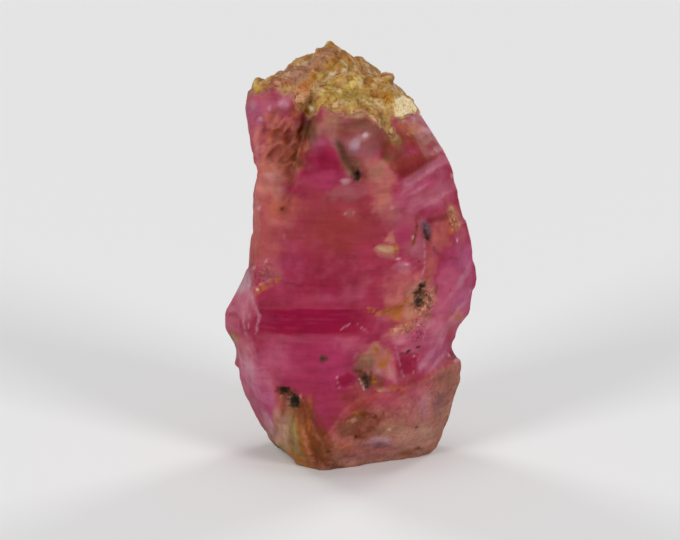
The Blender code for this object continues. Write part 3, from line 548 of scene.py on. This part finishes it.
# Grains of dark mineral in their brown grounds, and single dark specks: colour, strength, place, raggedness.
FRONT_SOOT = [
    ("umber", 0.8, 0.22, 13.85, 0.34, 0.46, 25, 0.3), ("soot", 1.0, 0.28, 13.8, 0.22, 0.34, 25, 0.15),
    ("rust", 0.7, -3.43, 12.2, 0.2, 0.2, 0, 0.1), ("soot", 0.8, -3.43, 12.2, 0.12, 0.12, 0, 0.0),
    ("rust", 0.8, 3.28, 11.5, 0.12, 0.45, 0, 0.4), ("rust", 0.7, 3.2, 10.8, 0.12, 0.4, -10, 0.4),
    ("smoke", 0.8, 3.8, 11.2, 0.26, 0.6, 22, 0.25), ("soot", 0.8, 3.85, 10.9, 0.13, 0.46, 22, 0.1),
    ("fawn", 0.9, 3.6, 7.8, 0.6, 1.05, -16, 0.5), ("cocoa", 0.9, 3.55, 7.95, 0.42, 0.85, -16, 0.6),
    ("umber", 0.9, 3.5, 7.95, 0.34, 0.75, -16, 0.6), ("soot", 0.85, 3.5, 8.1, 0.2, 0.36, -20, 0.7),
    ("soot", 0.8, 3.38, 7.5, 0.16, 0.36, -10, 0.7), ("soot", 0.6, 3.75, 8.45, 0.16, 0.14, 0, 0.5),
    ("rust", 0.6, 4.3, 8.2, 0.12, 0.4, -10, 0.6), ("umber", 0.7, 5.0, 8.15, 0.08, 0.08, 0, 0.0),
    ("umber", 0.7, 3.43, 9.55, 0.09, 0.09, 0, 0.0), ("umber", 0.7, -1.39, 4.77, 0.26, 0.3, -20, 0.5),
    ("soot", 0.5, -1.39, 4.77, 0.14, 0.18, -20, 0.4), ("soot", 0.8, 2.93, 5.05, 0.2, 0.09, 30, 0.15),
    ("soot", 0.8, 3.4, 5.27, 0.16, 0.07, 20, 0.1), ("sienna", 0.9, 0.6, 3.98, 0.6, 0.22, -5, 0.5),
    ("umber", 0.9, 0.82, 3.7, 0.5, 0.5, 0, 0.5), ("soot", 0.9, 0.82, 3.55, 0.16, 0.42, 0, 0.5),
    ("amber", 0.9, 1.2, 3.6, 0.16, 0.3, 0, 0.4), ("rust", 0.9, -3.3, 3.05, 0.6, 0.32, -25, 0.4),
    ("umber", 0.9, -3.2, 3.1, 0.42, 0.26, 10, 0.7), ("soot", 0.9, -3.25, 3.12, 0.34, 0.24, 10, 0.7),
    ("umber", 0.9, -2.8, 2.6, 0.46, 0.5, 0, 0.5), ("soot", 1.0, -2.8, 2.58, 0.34, 0.42, 0, 0.4),
    ("sienna", 0.8, 0.75, 1.95, 0.38, 0.14, -10, 0.6), ("orange", 0.6, 0.3, 2.05, 0.3, 0.13, 10, 0.5),
    ("peach", 0.6, 0.1, 1.65, 0.32, 0.16, 20, 0.6), ("umber", 0.7, 1.25, 1.85, 0.1, 0.2, 0, 0.5),
    ("umber", 0.6, 1.65, 1.95, 0.07, 0.16, 0, 0.3), ("soot", 0.8, 0.3, 0.86, 0.1, 0.1, 0, 0.0),
    ("umber", 0.8, 3.3, 1.3, 0.14, 0.1, 25, 0.05), ("soot", 0.7, -1.1, 0.08, 0.12, 0.09, 0, 0.0),
    ("umber", 0.9, 3.4, 0.2, 0.36, 0.13, 5, 0.3), ("umber", 0.8, 5.02, 2.3, 0.12, 0.22, 0, 0.2),
]
for name, strength, *place, fray in FRONT_SOOT:
    share = strength * mark(front, *place, 0.6, 0.2, fray)
    blend(name, share)
    grit = np.maximum(grit, share)

# Thin lines: cracks, veins and scratches, and painted highlights: the short chalky white dashes are glints
# on the edges of tiny breaks.
FRONT_THREADS = [
    ("orange", 1.5, 0.15, [(-4.7, 8.0), (-4.35, 8.25), (-3.9, 8.5), (-3.6, 8.62)]),
    ("sand", 1.2, 0.06, [(-4.7, 8.2), (-4.4, 8.45), (-4.0, 8.6)]),
    ("claret", 0.9, 0.06, [(-3.6, 8.62), (-3.0, 8.5), (-2.35, 8.28)]),
    ("claret", 0.6, 0.05, [(-4.0, 7.38), (-3.4, 7.42), (-2.9, 7.46)]),
    ("umber", 0.8, 0.07, [(4.0, 10.5), (4.35, 9.95), (4.8, 9.75), (5.45, 9.72)]),
    ("rust", 0.9, 0.06, [(1.6, 10.44), (1.95, 10.43), (2.2, 10.35)]),
    ("amber", 1.4, 0.12, [(0.9, 7.1), (1.4, 6.9), (1.8, 7.05), (2.2, 7.15), (2.6, 7.5), (2.9, 7.65)]),
    ("sienna", 0.9, 0.06, [(1.6, 6.98), (2.1, 7.15), (2.6, 7.3)]),
    ("amber", 0.9, 0.12, [(2.4, 7.1), (2.5, 6.7), (2.75, 6.5)]),
    ("rust", 0.9, 0.09, [(2.0, 3.25), (2.6, 3.38), (3.2, 3.42)]),
    ("amber", 0.9, 0.12, [(2.0, 3.2), (2.5, 3.2)]),
    ("amber", 0.9, 0.05, [(1.9, 6.15), (2.6, 6.5), (3.2, 6.65), (3.9, 7.1)]),
    ("peach", 0.9, 0.05, [(2.3, 6.3), (2.9, 6.2), (3.5, 6.4)]),
    ("rust", 1.6, 0.08, [(3.38, 11.8), (3.3, 11.3), (3.25, 10.8), (3.13, 10.4)]),
    ("milk", 0.8, 0.05, [(3.72, 10.6), (3.7, 9.4), (3.5, 8.5), (2.9, 8.0)]),
    ("milk", 0.6, 0.05, [(3.9, 6.4), (3.6, 5.6)]),
    ("milk", 0.8, 0.04, [(-0.45, 6.15), (0.0, 6.5)]),
    ("milk", 0.6, 0.04, [(0.3, 6.5), (0.75, 6.1), (1.1, 5.9)]),
    ("milk", 0.8, 0.07, [(-5.1, 9.1), (-5.0, 7.9), (-4.55, 6.8), (-4.7, 5.9)]),
    ("milk", 0.7, 0.05, [(-5.3, 7.0), (-5.35, 6.4), (-5.2, 5.8)]),
    ("milk", 0.7, 0.05, [(-5.0, 6.9), (-5.1, 6.2)]),
    ("milk", 0.6, 0.05, [(-5.3, 4.5), (-5.1, 3.9)]),
    # painted highlights: short glints on the edges of tiny breaks near the left edge
    ("chalk", 0.7, 0.05, [(-4.95, 9.15), (-4.75, 9.3)]),
    ("chalk", 0.6, 0.05, [(-4.35, 9.45), (-4.15, 9.65)]),
    ("chalk", 0.5, 0.05, [(-4.55, 8.85), (-4.35, 9.0)]),
    # painted highlights along both edges of the crimson facet low in the middle
    ("chalk", 0.7, 0.04, [(0.42, 3.7), (0.68, 3.15)]),
    ("chalk", 0.6, 0.04, [(-0.7, 3.8), (-0.55, 3.25)]),
    ("milk", 0.7, 0.05, [(2.25, 5.3), (2.5, 4.4), (2.65, 3.8)]),
    ("claret", 0.6, 0.06, [(-4.9, 4.1), (-4.1, 4.1)]),
    ("claret", 0.5, 0.06, [(-1.7, 2.42), (-1.3, 2.55)]),
    ("salmon", 0.6, 0.06, [(-3.3, 10.85), (-3.25, 10.5)]),
]
for name, strength, half_width, route in FRONT_THREADS:
    blend(name, 0.6 * strength * thread(front, route, half_width))

# Small bright spots: painted glints in white, milk and cream where tiny broken faces catch the light, among
# small specks of stain.
FRONT_GLINTS_AND_SPECKS = [
    ("orange", -4.35, 8.25, 0.3, 0.16), ("cream", -4.65, 8.15, 0.12, 0.09),
    ("milk", 2.85, 9.4, 0.18, 0.12), ("pink", 2.1, 12.2, 0.22, 0.14), ("milk", -4.6, 12.2, 0.16, 0.14),
    ("dusk", -0.1, 11.9, 0.4, 0.25), ("tan", -0.25, 11.93, 0.1, 0.06), ("salmon", 0.15, 11.98, 0.12, 0.08),
    ("chalk", 5.35, 10.6, 0.05, 0.12), ("milk", 5.1, 13.85, 0.14, 0.16),
    ("amber", 5.05, 11.05, 0.2, 0.2), ("tan", 5.05, 12.2, 0.18, 0.14), ("milk", 3.1, 10.75, 0.1, 0.14),
    ("milk", 6.0, 8.1, 0.08, 0.1), ("orange", 5.4, 6.75, 0.25, 0.28), ("milk", 2.35, 6.1, 0.16, 0.1),
    ("milk", 3.2, 4.8, 0.1, 0.05), ("milk", 3.15, 4.0, 0.05, 0.08), ("milk", 2.4, 9.7, 0.2, 0.1),
    ("cream", 1.9, 1.2, 0.14, 0.09), ("milk", -4.5, 16.7, 0.2, 0.14), ("milk", -4.05, 17.2, 0.14, 0.2),
    ("sand", -2.5, 2.8, 0.06, 0.16), ("sand", -3.05, 2.78, 0.14, 0.06), ("tan", -3.45, 2.8, 0.07, 0.05),
    ("tan", 1.45, 3.1, 0.16, 0.06), ("sand", 0.15, 1.7, 0.12, 0.08), ("rust", -0.95, 12.55, 0.1, 0.1),
]
for name, *place in FRONT_GLINTS_AND_SPECKS:
    blend(name, 0.85 * mark(front, *place, soft=0.8, ragged=0.1))

# Where the front is dry grain, and where it is broken into crumbs.
for *place, strength in [
    (3.6, 7.8, 0.6, 1.1, -16, 0.9), (1.0, 4.3, 0.9, 0.8, 20, 0.5), (2.2, 0.8, 3.7, 1.7, 16, 0.35),
    (5.0, 2.6, 1.2, 2.2, -20, 0.55), (-2.4, 1.0, 1.4, 1.9, 0, 0.3), (-3.2, 15.4, 1.4, 1.9, 8, 0.3),
    (0.1, 14.4, 0.6, 1.2, 20, 0.5), (5.2, 11.6, 0.4, 1.0, 20, 0.5),
]:
    grit = np.maximum(grit, strength * mark(front, *place))
for *place, strength in [
    (2.9, 6.3, 1.3, 0.45, 15, 1.0), (3.4, 5.8, 0.8, 0.45, 20, 0.8), (3.7, 7.4, 0.6, 1.0, -16, 0.9),
    (1.0, 7.05, 0.6, 0.3, 0, 0.5), (-4.4, 8.9, 0.6, 1.0, -30, 0.5), (1.0, 3.5, 1.0, 0.5, 0, 0.1),
    (5.1, 11.6, 0.4, 0.9, 22, 1.0), (2.3, 9.9, 0.5, 0.5, 0, 0.4), (1.4, 1.95, 1.8, 0.35, 20, 0.3),
    (0.1, 1.7, 0.7, 0.5, 20, 0.25), (2.9, 16.3, 1.2, 0.7, -30, 0.2), (3.2, 4.6, 0.5, 0.6, 0, 0.6),
    (-3.2, 16.0, 1.2, 1.5, 8, 0.15), (4.2, 3.0, 1.0, 1.4, 0, 0.3),
]:
    jagged = np.maximum(jagged, strength * mark(front, *place))

# Under the crust the ruby is stained brown, and so it is a little way down from the crust's edge.
under_crust = crust_cover(points, normals, front)
roof = fade(points[:, 2] + 1.2 * normals[:, 2] + 0.6 * rough(points, 0.7, 8.0), 18.2, 20.2)
blend("cocoa", 0.8 * roof)
blend("fawn", 0.7 * fade(under_crust, 0.0, 0.45))
blend("tan", 0.5 * fade(under_crust, 0.3, 0.6))
grit = np.maximum(grit, 0.8 * roof)

# The skirt of brownish skin goes on round the sides and the back.
foot_edge = 2.5 + 0.2 * points[:, 0] + 0.12 * points[:, 1] + 1.2 * rough(points, 2.2, 5.0)
skin = (1.0 - fade(points[:, 2], foot_edge - 0.4, foot_edge + 0.4)) * fade(points[:, 1], -1.5, 0.5)
blend("fawn", 0.9 * skin)
blend("cocoa", 0.7 * skin * fade(rough(points, 1.1, 5.5), -0.2, 0.4))
blend("sand", 0.6 * skin * fade(rough(points, 0.9, 6.0), 0.0, 0.5))
grit = np.maximum(grit, 0.75 * skin)

foot = 1.0 - fade(points[:, 2] + 0.25 * rough(points, 0.9, 7.0), 0.2, 0.75)
blend("fawn", 0.9 * foot)
blend("cocoa", 0.6 * foot * fade(rough(points, 1.3, 10.5), -0.3, 0.4))
blend("rust", 0.5 * foot * fade(rough(points, 1.1, 9.5), 0.0, 0.5))
blend("olive", 0.6 * foot * (1.0 - fade(points[:, 0], -3.4, -2.2)))

for name, strength, half_width, route in [
    ("bronze", 0.9, 0.24, [(-3.4, 0.3), (-2.9, -0.15), (-2.0, -0.65)]),
    ("amber", 0.9, 0.14, [(-3.1, 0.1), (-2.6, -0.3), (-2.0, -0.6)]),
    ("sienna", 0.8, 0.3, [(-1.9, -0.4), (-1.2, -0.5), (-0.6, -0.7)]),
]:
    blend(name, strength * thread(front, route, half_width))

# Relief, in mm along the surface's direction.
CRUMB = 0.42  # width of a broken crumb, in mm
RIDGE_TURN = np.array(((0.8, 0.0, 0.6), (0.0, 1.0, 0.0), (-0.6, 0.0, 0.8)))  # by 37 degrees about Y
PIT_DEPTH = 0.08
SUNK = 0.12  # how far the ruby lies under its crust
tilt = lumps(points, CRUMB, 4.0)[1]
ridges = 1.0 - np.abs(rough(points @ RIDGE_TURN, (0.5, 0.75, 1.3), 46.0))
flank = mark(front, -3.6, 15.4, 1.9, 2.4, 8)
out = 0.02 * rough(points, 0.9, 41.0)
out += 0.008 * rough(points, (6.0, 6.0, 0.35), 42.0)
out += jagged * (0.06 * tilt + 0.03 * rough(points, 0.25, 43.0))
out += grit * (0.03 * rough(points, 0.3, 44.0) + 0.03 * rough(points, 0.7, 45.0))
out += flank * (0.30 * (ridges - 0.7) + 0.08 * tilt)
# painted highlight and shade: orange and salmon on the crests of the flank's ridges, sienna in the troughs
# between them, more of it higher up
blend("orange", 0.4 * flank * fade(ridges, 0.6, 0.85))
blend("salmon", 0.6 * flank * fade(ridges, 0.78, 0.98))
blend("sienna", (0.25 + 0.35 * fade(front[1], 14.0, 16.0)) * flank * (1.0 - fade(ridges, 0.45, 0.8)))
out += 0.05 * fade(skirt, 0.0, 0.6) + 0.03 * skirt_rim
FRONT_RELIEF = [
    (-0.22, 0.25, 13.8, 0.24, 0.34, 25), (-0.08, -0.42, 15.05, 0.3, 0.9, 26),
    (0.10, 1.75, 10.35, 0.7, 0.42, -12), (-0.12, 3.85, 11.0, 0.25, 0.7, 22),
    (-0.12, 3.65, 7.9, 0.5, 1.0), (-0.10, -3.35, 3.1, 0.45, 0.3, -35),
    (-0.10, -2.8, 2.55, 0.4, 0.4, -20), (0.08, -2.4, 1.0, 1.0, 1.7),
    (0.06, 0.7, 4.9, 0.7, 0.5, 20), (-0.10, 0.8, 3.9, 0.4, 0.35),
    (0.04, -1.4, 4.7, 0.25, 0.25), (-0.05, -3.45, 12.2, 0.15, 0.15),
]
for height, *place in FRONT_RELIEF:
    out += height * mark(front, *place, soft=0.8, ragged=0.1)
out += fan * 0.03 * fibres
out -= PIT_DEPTH * dents + SUNK * fade(under_crust, 0.7, 1.0)
# Light comes out of the deep places darker and redder than a mix of the colours gives.
deep = 1.0 - fade(tint[:, :3] @ np.array((0.3, 0.6, 0.1)), 0.07, 0.22)
tint[:, :3] *= 1.0 - deep[:, None] * np.array((0.12, 0.12, 0.24))
points = round_shoulder(points + normals * out[:, None])
write_points(stone, points, tint=tint, grit=grit, jagged=jagged)


def add_node(material, kind, inputs=None, stops=None, **settings):
    """Adds a node with its settings. An input is a value, an output to link, or a node with one to link."""
    made = material.node_tree.nodes.new("ShaderNode" + kind)
    for name, value in settings.items():
        setattr(made, name, value)
    for socket, value in (inputs or {}).items():
        value = value.outputs[0] if isinstance(value, bpy.types.Node) else value
        if isinstance(value, bpy.types.NodeSocket):
            material.node_tree.links.new(value, made.inputs[socket])
        else:
            made.inputs[socket].default_value = value
    if stops:
        ramp = made.color_ramp
        while len(ramp.elements) < len(stops):
            ramp.elements.new(0.5)
        for element, (place, code) in zip(ramp.elements, stops):
            element.position = place
            element.color = linear(code)
    return made


def new_material(name):
    """A material with no shader yet, and the place on the piece in millimetres for its patterns."""
    material = bpy.data.materials.new(name)
    material.use_nodes = True
    material.node_tree.nodes.clear()
    in_metres = add_node(material, "TexCoord").outputs["Object"]
    in_mm = add_node(material, "Mapping", {"Vector": in_metres, "Scale": (1.0 / MM,) * 3})
    return material, in_mm


MULTIPLY = {"data_type": "RGBA", "blend_type": "MULTIPLY"}

# Ruby: corundum, transparent red but clouded by tiny fractures. Broken faces are waxy, and light that goes
# in comes out again nearby, redder, so deep places look crimson and clouded ones milky pink.
ruby, in_mm = new_material("rough_ruby")
tint_at, grit_at, jagged_at = (
    add_node(ruby, "Attribute", attribute_name=name) for name in ("tint", "grit", "jagged")
)
in_layers = add_node(
    ruby, "Mapping", {"Vector": in_mm, "Rotation": (-0.14, 0.05, 0.0), "Scale": (0.45, 0.45, 3.2)}
)
layers = add_node(ruby, "TexNoise", {"Vector": in_layers, "Scale": 1.0, "Detail": 5.0, "Roughness": 0.6})
cloud = add_node(ruby, "TexNoise", {"Vector": in_mm, "Scale": 1.3, "Detail": 7.0, "Roughness": 0.62})
speckle = add_node(ruby, "TexNoise", {"Vector": in_mm, "Scale": 5.5, "Detail": 5.0, "Roughness": 0.7})
shade = add_node(
    ruby, "ValToRGB", {0: cloud}, stops=[(0.30, "#e2d4d8"), (0.50, "#f6f2f4"), (0.70, "#ffffff")]
)
bands = add_node(
    ruby, "ValToRGB", {0: layers}, stops=[(0.35, "#ece2e6"), (0.50, "#f8f4f6"), (0.65, "#ffffff")]
)
shaded = add_node(ruby, "Mix", {0: 1.0, 6: tint_at.outputs["Color"], 7: shade}, **MULTIPLY)
banded = add_node(ruby, "Mix", {0: 0.9, 6: shaded.outputs[2], 7: bands}, **MULTIPLY)
grain_colour = add_node(
    ruby, "ValToRGB", {0: speckle},
    stops=[(0.32, "#7c6c64"), (0.46, "#cfc8c4"), (0.58, "#ffffff"), (0.70, "#ffffff")],
)
grained = add_node(
    ruby, "Mix", {0: grit_at.outputs["Fac"], 6: banded.outputs[2], 7: grain_colour}, **MULTIPLY
)
# Crumbs: each tiny broken cell is paler or darker by lot, and the palest cells are painted glints.
crumbs = add_node(ruby, "TexVoronoi", {"Vector": in_mm, "Scale": 8.5})
crumb_lot = add_node(ruby, "SeparateColor", {0: crumbs.outputs["Color"]})
crumb_tone_and_glint = add_node(
    ruby, "ValToRGB", {0: crumb_lot},
    stops=[(0.0, "#7c6868"), (0.3, "#a09494"), (0.6, "#bcb8b4"), (0.85, "#d4d4cc"), (1.0, "#ecf0ec")],
)
crumb_share = add_node(ruby, "Math", {0: jagged_at.outputs["Fac"], 1: 0.8}, operation="MULTIPLY")
crumbed = add_node(
    ruby, "Mix", {0: crumb_share, 6: grained.outputs[2], 7: crumb_tone_and_glint},
    data_type="RGBA", blend_type="OVERLAY",
)
fine_height = add_node(ruby, "Math", {0: speckle, 1: cloud}, operation="ADD")
fine_bump = add_node(ruby, "Bump", {"Height": fine_height, "Strength": 0.4, "Distance": 0.00008})
crumb_height = add_node(
    ruby, "Math", {0: crumbs.outputs["Distance"], 1: jagged_at.outputs["Fac"]}, operation="MULTIPLY"
)
bump = add_node(
    ruby, "Bump",
    {"Height": crumb_height, "Strength": 0.6, "Distance": 0.0001, "Normal": fine_bump},
)
gloss = add_node(ruby, "MapRange", {0: grit_at.outputs["Fac"], 3: 0.30, 4: 0.62})
glow = add_node(ruby, "MapRange", {0: grit_at.outputs["Fac"], 3: 0.55, 4: 0.1})
ruby_shader = add_node(
    ruby, "BsdfPrincipled",
    {
        "Base Color": crumbed.outputs[2],
        "Roughness": gloss,
        "IOR": 1.77,
        "Specular IOR Level": 0.07,
        "Subsurface Weight": glow,
        "Subsurface Radius": (1.0, 0.25, 0.4),
        "Subsurface Scale": 0.0004,
        "Normal": bump,
    },
)
add_node(ruby, "OutputMaterial", {"Surface": ruby_shader})
stone.data.materials.clear()
stone.data.materials.append(ruby)
stone.data.shade_smooth()
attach(stone, "root")
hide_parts("ruby_crystal")

# ----------------------------------------------------------------------
# The crust of host rock on the roof: calcite-rich rock that the crystal grew in, weathered to ochre, in
# rounded and angular grains that are welded to each other and to the ruby.
# ----------------------------------------------------------------------

CRUST_CELL = 0.06
CRUST_FROM = 16.0  # the crust's own mesh starts here, inside the stone
ROCK_LUMP = 0.9  # widths of its lumps and of the grains in them, in mm
ROCK_GRAIN = 0.38
PALETTE.update({
    "ochre": "#b28640", "straw": "#c4aa62", "lemon": "#d2be74", "dun": "#aa806e", "honey": "#b4802e",
})
TINTS = {name: np.array(linear(code)) for name, code in PALETTE.items()}
crust = fine_copy("host_crust", CRUST_CELL, top_only=CRUST_FROM)
points, normals = read_points(crust)
warp_across, warp_up, frayed = wander(points)
front = side_plane(0.0)
cover = crust_cover(points, normals, front)
seam, tilt, lot = lumps(points, ROCK_LUMP, 4.0)
fine_seam, _, fine_lot = lumps(points, ROCK_GRAIN, 6.0)

# Its colours all round are ochre, olive and straw by the lump; then the front's: colour, strength, place.
tint = np.tile(TINTS["ochre"], (len(points), 1))
blend("bronze", 0.5 * fade(rough(points, 1.4, 51.0), -0.2, 0.4))
blend("straw", 0.5 * fade(lot, 0.45, 0.7))
blend("cocoa", 0.5 * fade(lot, 0.25, 0.1))
CRUST_TINTS = [
    ("dun", 1.0, -2.3, 19.1, 1.5, 0.8, 35), ("dun", 0.7, -1.3, 19.9, 1.1, 0.45, 25),
    ("ochre", 0.9, -0.85, 20.45, 0.35, 0.25), ("honey", 0.9, -1.85, 18.9, 0.25, 0.75),
    ("rust", 0.5, -1.75, 19.0, 0.15, 0.5), ("rust", 0.7, -0.75, 19.65, 0.4, 0.22, 10),
    ("honey", 0.7, 0.3, 19.4, 0.8, 0.5, -30), ("bronze", 0.6, -0.1, 19.2, 0.6, 0.4),
    ("tan", 0.9, -0.8, 18.95, 0.75, 0.3, 15), ("cream", 0.8, -0.9, 18.95, 0.28, 0.2, 20),
    ("cream", 0.6, -0.35, 19.1, 0.22, 0.16, 20), ("tan", 1.0, -2.4, 18.0, 1.1, 0.8, 10),
    ("salmon", 0.5, -2.6, 17.9, 0.8, 0.7, 10), ("orange", 0.7, -2.2, 18.4, 0.7, 0.35, 20),
    ("orange", 0.6, -1.6, 18.3, 0.45, 0.2, -30), ("rust", 0.5, -2.5, 17.3, 0.3, 0.6, 20),
    ("coral", 0.5, -3.4, 18.5, 0.8, 0.4, 15), ("cocoa", 0.5, -3.5, 18.5, 0.7, 0.35, 15),
    ("magenta", 0.3, -3.8, 18.4, 0.4, 0.25, 15), ("straw", 1.0, -0.4, 17.9, 1.3, 0.8),
    ("lemon", 0.8, -0.3, 18.3, 0.9, 0.5), ("straw", 0.8, -1.1, 18.5, 0.6, 0.3),
    ("tan", 0.8, -0.5, 18.4, 0.5, 0.25, 20), ("bronze", 0.6, 0.1, 17.8, 0.8, 0.7),
    ("lemon", 0.8, -1.4, 17.95, 0.35, 0.22), ("lemon", 0.9, -0.2, 18.25, 0.4, 0.22),
    ("lemon", 0.6, 0.2, 18.6, 0.5, 0.2), ("lemon", 0.9, 0.1, 17.3, 0.3, 0.45, 5),
    ("milk", 0.6, 0.25, 16.85, 0.35, 0.16, 10), ("tan", 0.8, -0.7, 17.3, 0.6, 0.4),
    ("cream", 0.9, -1.9, 17.25, 0.26, 0.26), ("umber", 0.7, -1.45, 18.3, 0.45, 0.1, 15),
    ("ochre", 0.9, 1.3, 18.4, 0.9, 0.6, -20), ("lemon", 0.7, 1.9, 18.85, 0.35, 0.2, -10),
    ("honey", 1.0, 1.85, 17.75, 0.5, 0.35, -20), ("tan", 0.8, 1.4, 17.25, 0.6, 0.25, -20),
    ("cream", 0.6, 1.45, 17.3, 0.4, 0.1, -25), ("fawn", 0.9, 1.5, 16.3, 0.6, 1.1, 30),
    ("bronze", 0.7, 1.8, 16.3, 0.4, 1.0, 28), ("cocoa", 0.5, 2.05, 15.9, 0.35, 0.5, 28),
    ("umber", 0.6, 1.45, 16.9, 0.22, 0.14), ("ochre", 0.8, -4.5, 18.45, 0.5, 0.35, 20),
    ("lemon", 0.5, -4.7, 18.35, 0.25, 0.25), ("tan", 0.9, 0.5, 16.95, 0.8, 0.35, -5),
    ("sand", 0.6, 0.5, 16.95, 0.6, 0.3), ("ochre", 0.5, -1.1, 17.7, 0.4, 0.35),
    ("tan", 0.7, 2.05, 16.9, 0.4, 0.45),
]
for name, strength, *place in CRUST_TINTS:
    blend(name, strength * mark(front, *place))
blend("cream", 0.3 * fade(fine_lot, 0.75, 0.9))
blend("rust", 0.3 * fade(fine_lot, 0.22, 0.08))
# darker umber down the seams between the lumps, and a little down those between the grains
blend("umber", 0.3 * (1.0 - fade(seam, 0.0, 0.2)) * fade(frayed, -0.4, 0.5))
blend("umber", 0.12 * (1.0 - fade(fine_seam, 0.0, 0.2)))
blend("fawn", 0.7 * (1.0 - fade(cover, 0.6, 0.95)))
pale_grain = facet(front, CREAM_GRAIN, 0.08) * (1.0 - fade(points[:, 1], -0.5, -0.3))
blend("cream", 0.95 * pale_grain)
blend("lemon", 0.4 * pale_grain * fade(rough(points, 0.35, 52.0), 0.0, 0.4))

smooth_roof = mark(front, -2.2, 19.2, 2.4, 1.1, 33, 0.6, 0.1)
relief = 0.035 * fade(seam, 0.0, 0.7) * (0.5 + lot) + 0.03 * tilt + 0.04 * rough(points, 1.2, 47.0)
relief += 0.03 * fade(fine_seam, 0.0, 0.6) * (0.3 + fine_lot) + 0.025 * rough(points, 0.3, 48.0)
relief *= (1.0 - 0.8 * smooth_roof) * (1.0 - 0.8 * pale_grain)
relief += 0.07 * pale_grain - 0.12 * smooth_roof + 0.12 * mark(front, -4.75, 18.5, 0.5, 0.35, 20)
edge = fade(cover, 0.2, 0.7)
relief = fade(cover, 0.5, 1.0) * relief
points = round_shoulder(points + normals * (relief + 0.03 * edge - 0.3 * (1.0 - edge))[:, None])
points[:, :2] *= 1.0 - 0.05 * (1.0 - edge)[:, None]
write_points(crust, points, tint=tint)

# Weathered calcite rock: dull and opaque, ochre and olive, darker brown down in its seams.
rock, in_mm = new_material("weathered_host_rock")
rock_tint = add_node(rock, "Attribute", attribute_name="tint")
speckle = add_node(rock, "TexNoise", {"Vector": in_mm, "Scale": 5.0, "Detail": 6.0, "Roughness": 0.7})
rock_grain = add_node(
    rock, "ValToRGB", {0: speckle},
    stops=[(0.30, "#9a7038"), (0.42, "#e0ccac"), (0.52, "#fff8ec"), (0.70, "#ffffff")],
)
rock_colour = add_node(rock, "Mix", {0: 1.0, 6: rock_tint.outputs["Color"], 7: rock_grain}, **MULTIPLY)
rock_bump = add_node(rock, "Bump", {"Height": speckle, "Strength": 0.4, "Distance": 0.0001})
rock_shader = add_node(
    rock, "BsdfPrincipled",
    {
        "Base Color": rock_colour.outputs[2],
        "Roughness": 0.5,
        "IOR": 1.6,
        "Specular IOR Level": 0.1,
        "Subsurface Weight": 0.4,
        "Subsurface Radius": (1.0, 0.6, 0.3),
        "Subsurface Scale": 0.0004,
        "Normal": rock_bump,
    },
)
add_node(rock, "OutputMaterial", {"Surface": rock_shader})
crust.data.materials.clear()
crust.data.materials.append(rock)
crust.data.shade_smooth()
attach(crust, "root")

# ----------------------------------------------------------------------
# The studio: a pale table that runs on behind the stone, a soft light tent and a long lens.
# ----------------------------------------------------------------------

TABLE_RADIUS = 0.6  # in metres
bpy.ops.object.select_all(action="DESELECT")
bpy.ops.mesh.primitive_circle_add(vertices=96, radius=TABLE_RADIUS, fill_type="NGON")
table = bpy.context.object
table.name = "table"
table_paint = bpy.data.materials.new("pale_card")
table_paint.use_nodes = True
table_shader = table_paint.node_tree.nodes["Principled BSDF"]
table_shader.inputs["Base Color"].default_value = linear("#ededed")
table_shader.inputs["Roughness"].default_value = 0.9
table.data.materials.append(table_paint)
table.visible_glossy = False

tent = bpy.data.worlds.new("light_tent")
bpy.context.scene.world = tent
tent.use_nodes = True
tent.node_tree.nodes["Background"].inputs["Color"].default_value = (1.0, 1.0, 1.0, 1.0)
tent.node_tree.nodes["Background"].inputs["Strength"].default_value = 0.2


def soft_light(name, place, size, power):
    """A square light that looks at the middle of the stone."""
    bpy.ops.object.light_add(type="AREA", location=place)
    light = bpy.context.object
    light.name = name
    light.data.size = size
    light.data.energy = power
    aim = Vector((0.0, 0.0, 0.01)) - Vector(place)
    light.rotation_mode = "QUATERNION"
    light.rotation_quaternion = aim.to_track_quat("-Z", "Y")


soft_light("top_light", (0.0, 0.0, 0.5), 0.2, 0.42)
for side_name, x, y, power in [
    ("front_left", -1, -1, 1.18), ("front_right", 1, -1, 1.18),
    ("back_left", -1, 1, 0.85), ("back_right", 1, 1, 0.85),
]:
    soft_light(side_name + "_light", (0.32 * x, 0.36 * y, 0.2), 0.16, power)

LENS = 180.0  # a long lens, in mm, so that upright edges stay parallel
DISTANCE = 0.17  # from the camera to the stone, in metres
AIM_ACROSS = -0.0005  # the middle of the picture, to the right of the stone's axis
AIM_UP = 0.009125  # and above its foot, both square to the view
back = Vector((0.0, -math.cos(LEAN), math.sin(LEAN)))
above = back.cross(Vector((1.0, 0.0, 0.0)))
bpy.ops.object.camera_add()
camera = bpy.context.object
camera.data.lens = LENS
camera.data.sensor_width = 36.0
camera.data.clip_start = 0.01
camera.location = Vector((AIM_ACROSS, 0.0, 0.0)) + above * AIM_UP + back * DISTANCE
camera.rotation_mode = "QUATERNION"
camera.rotation_quaternion = (-back).to_track_quat("-Z", "Y")
bpy.context.scene.camera = camera
bpy.context.scene.view_settings.view_transform = "Standard"
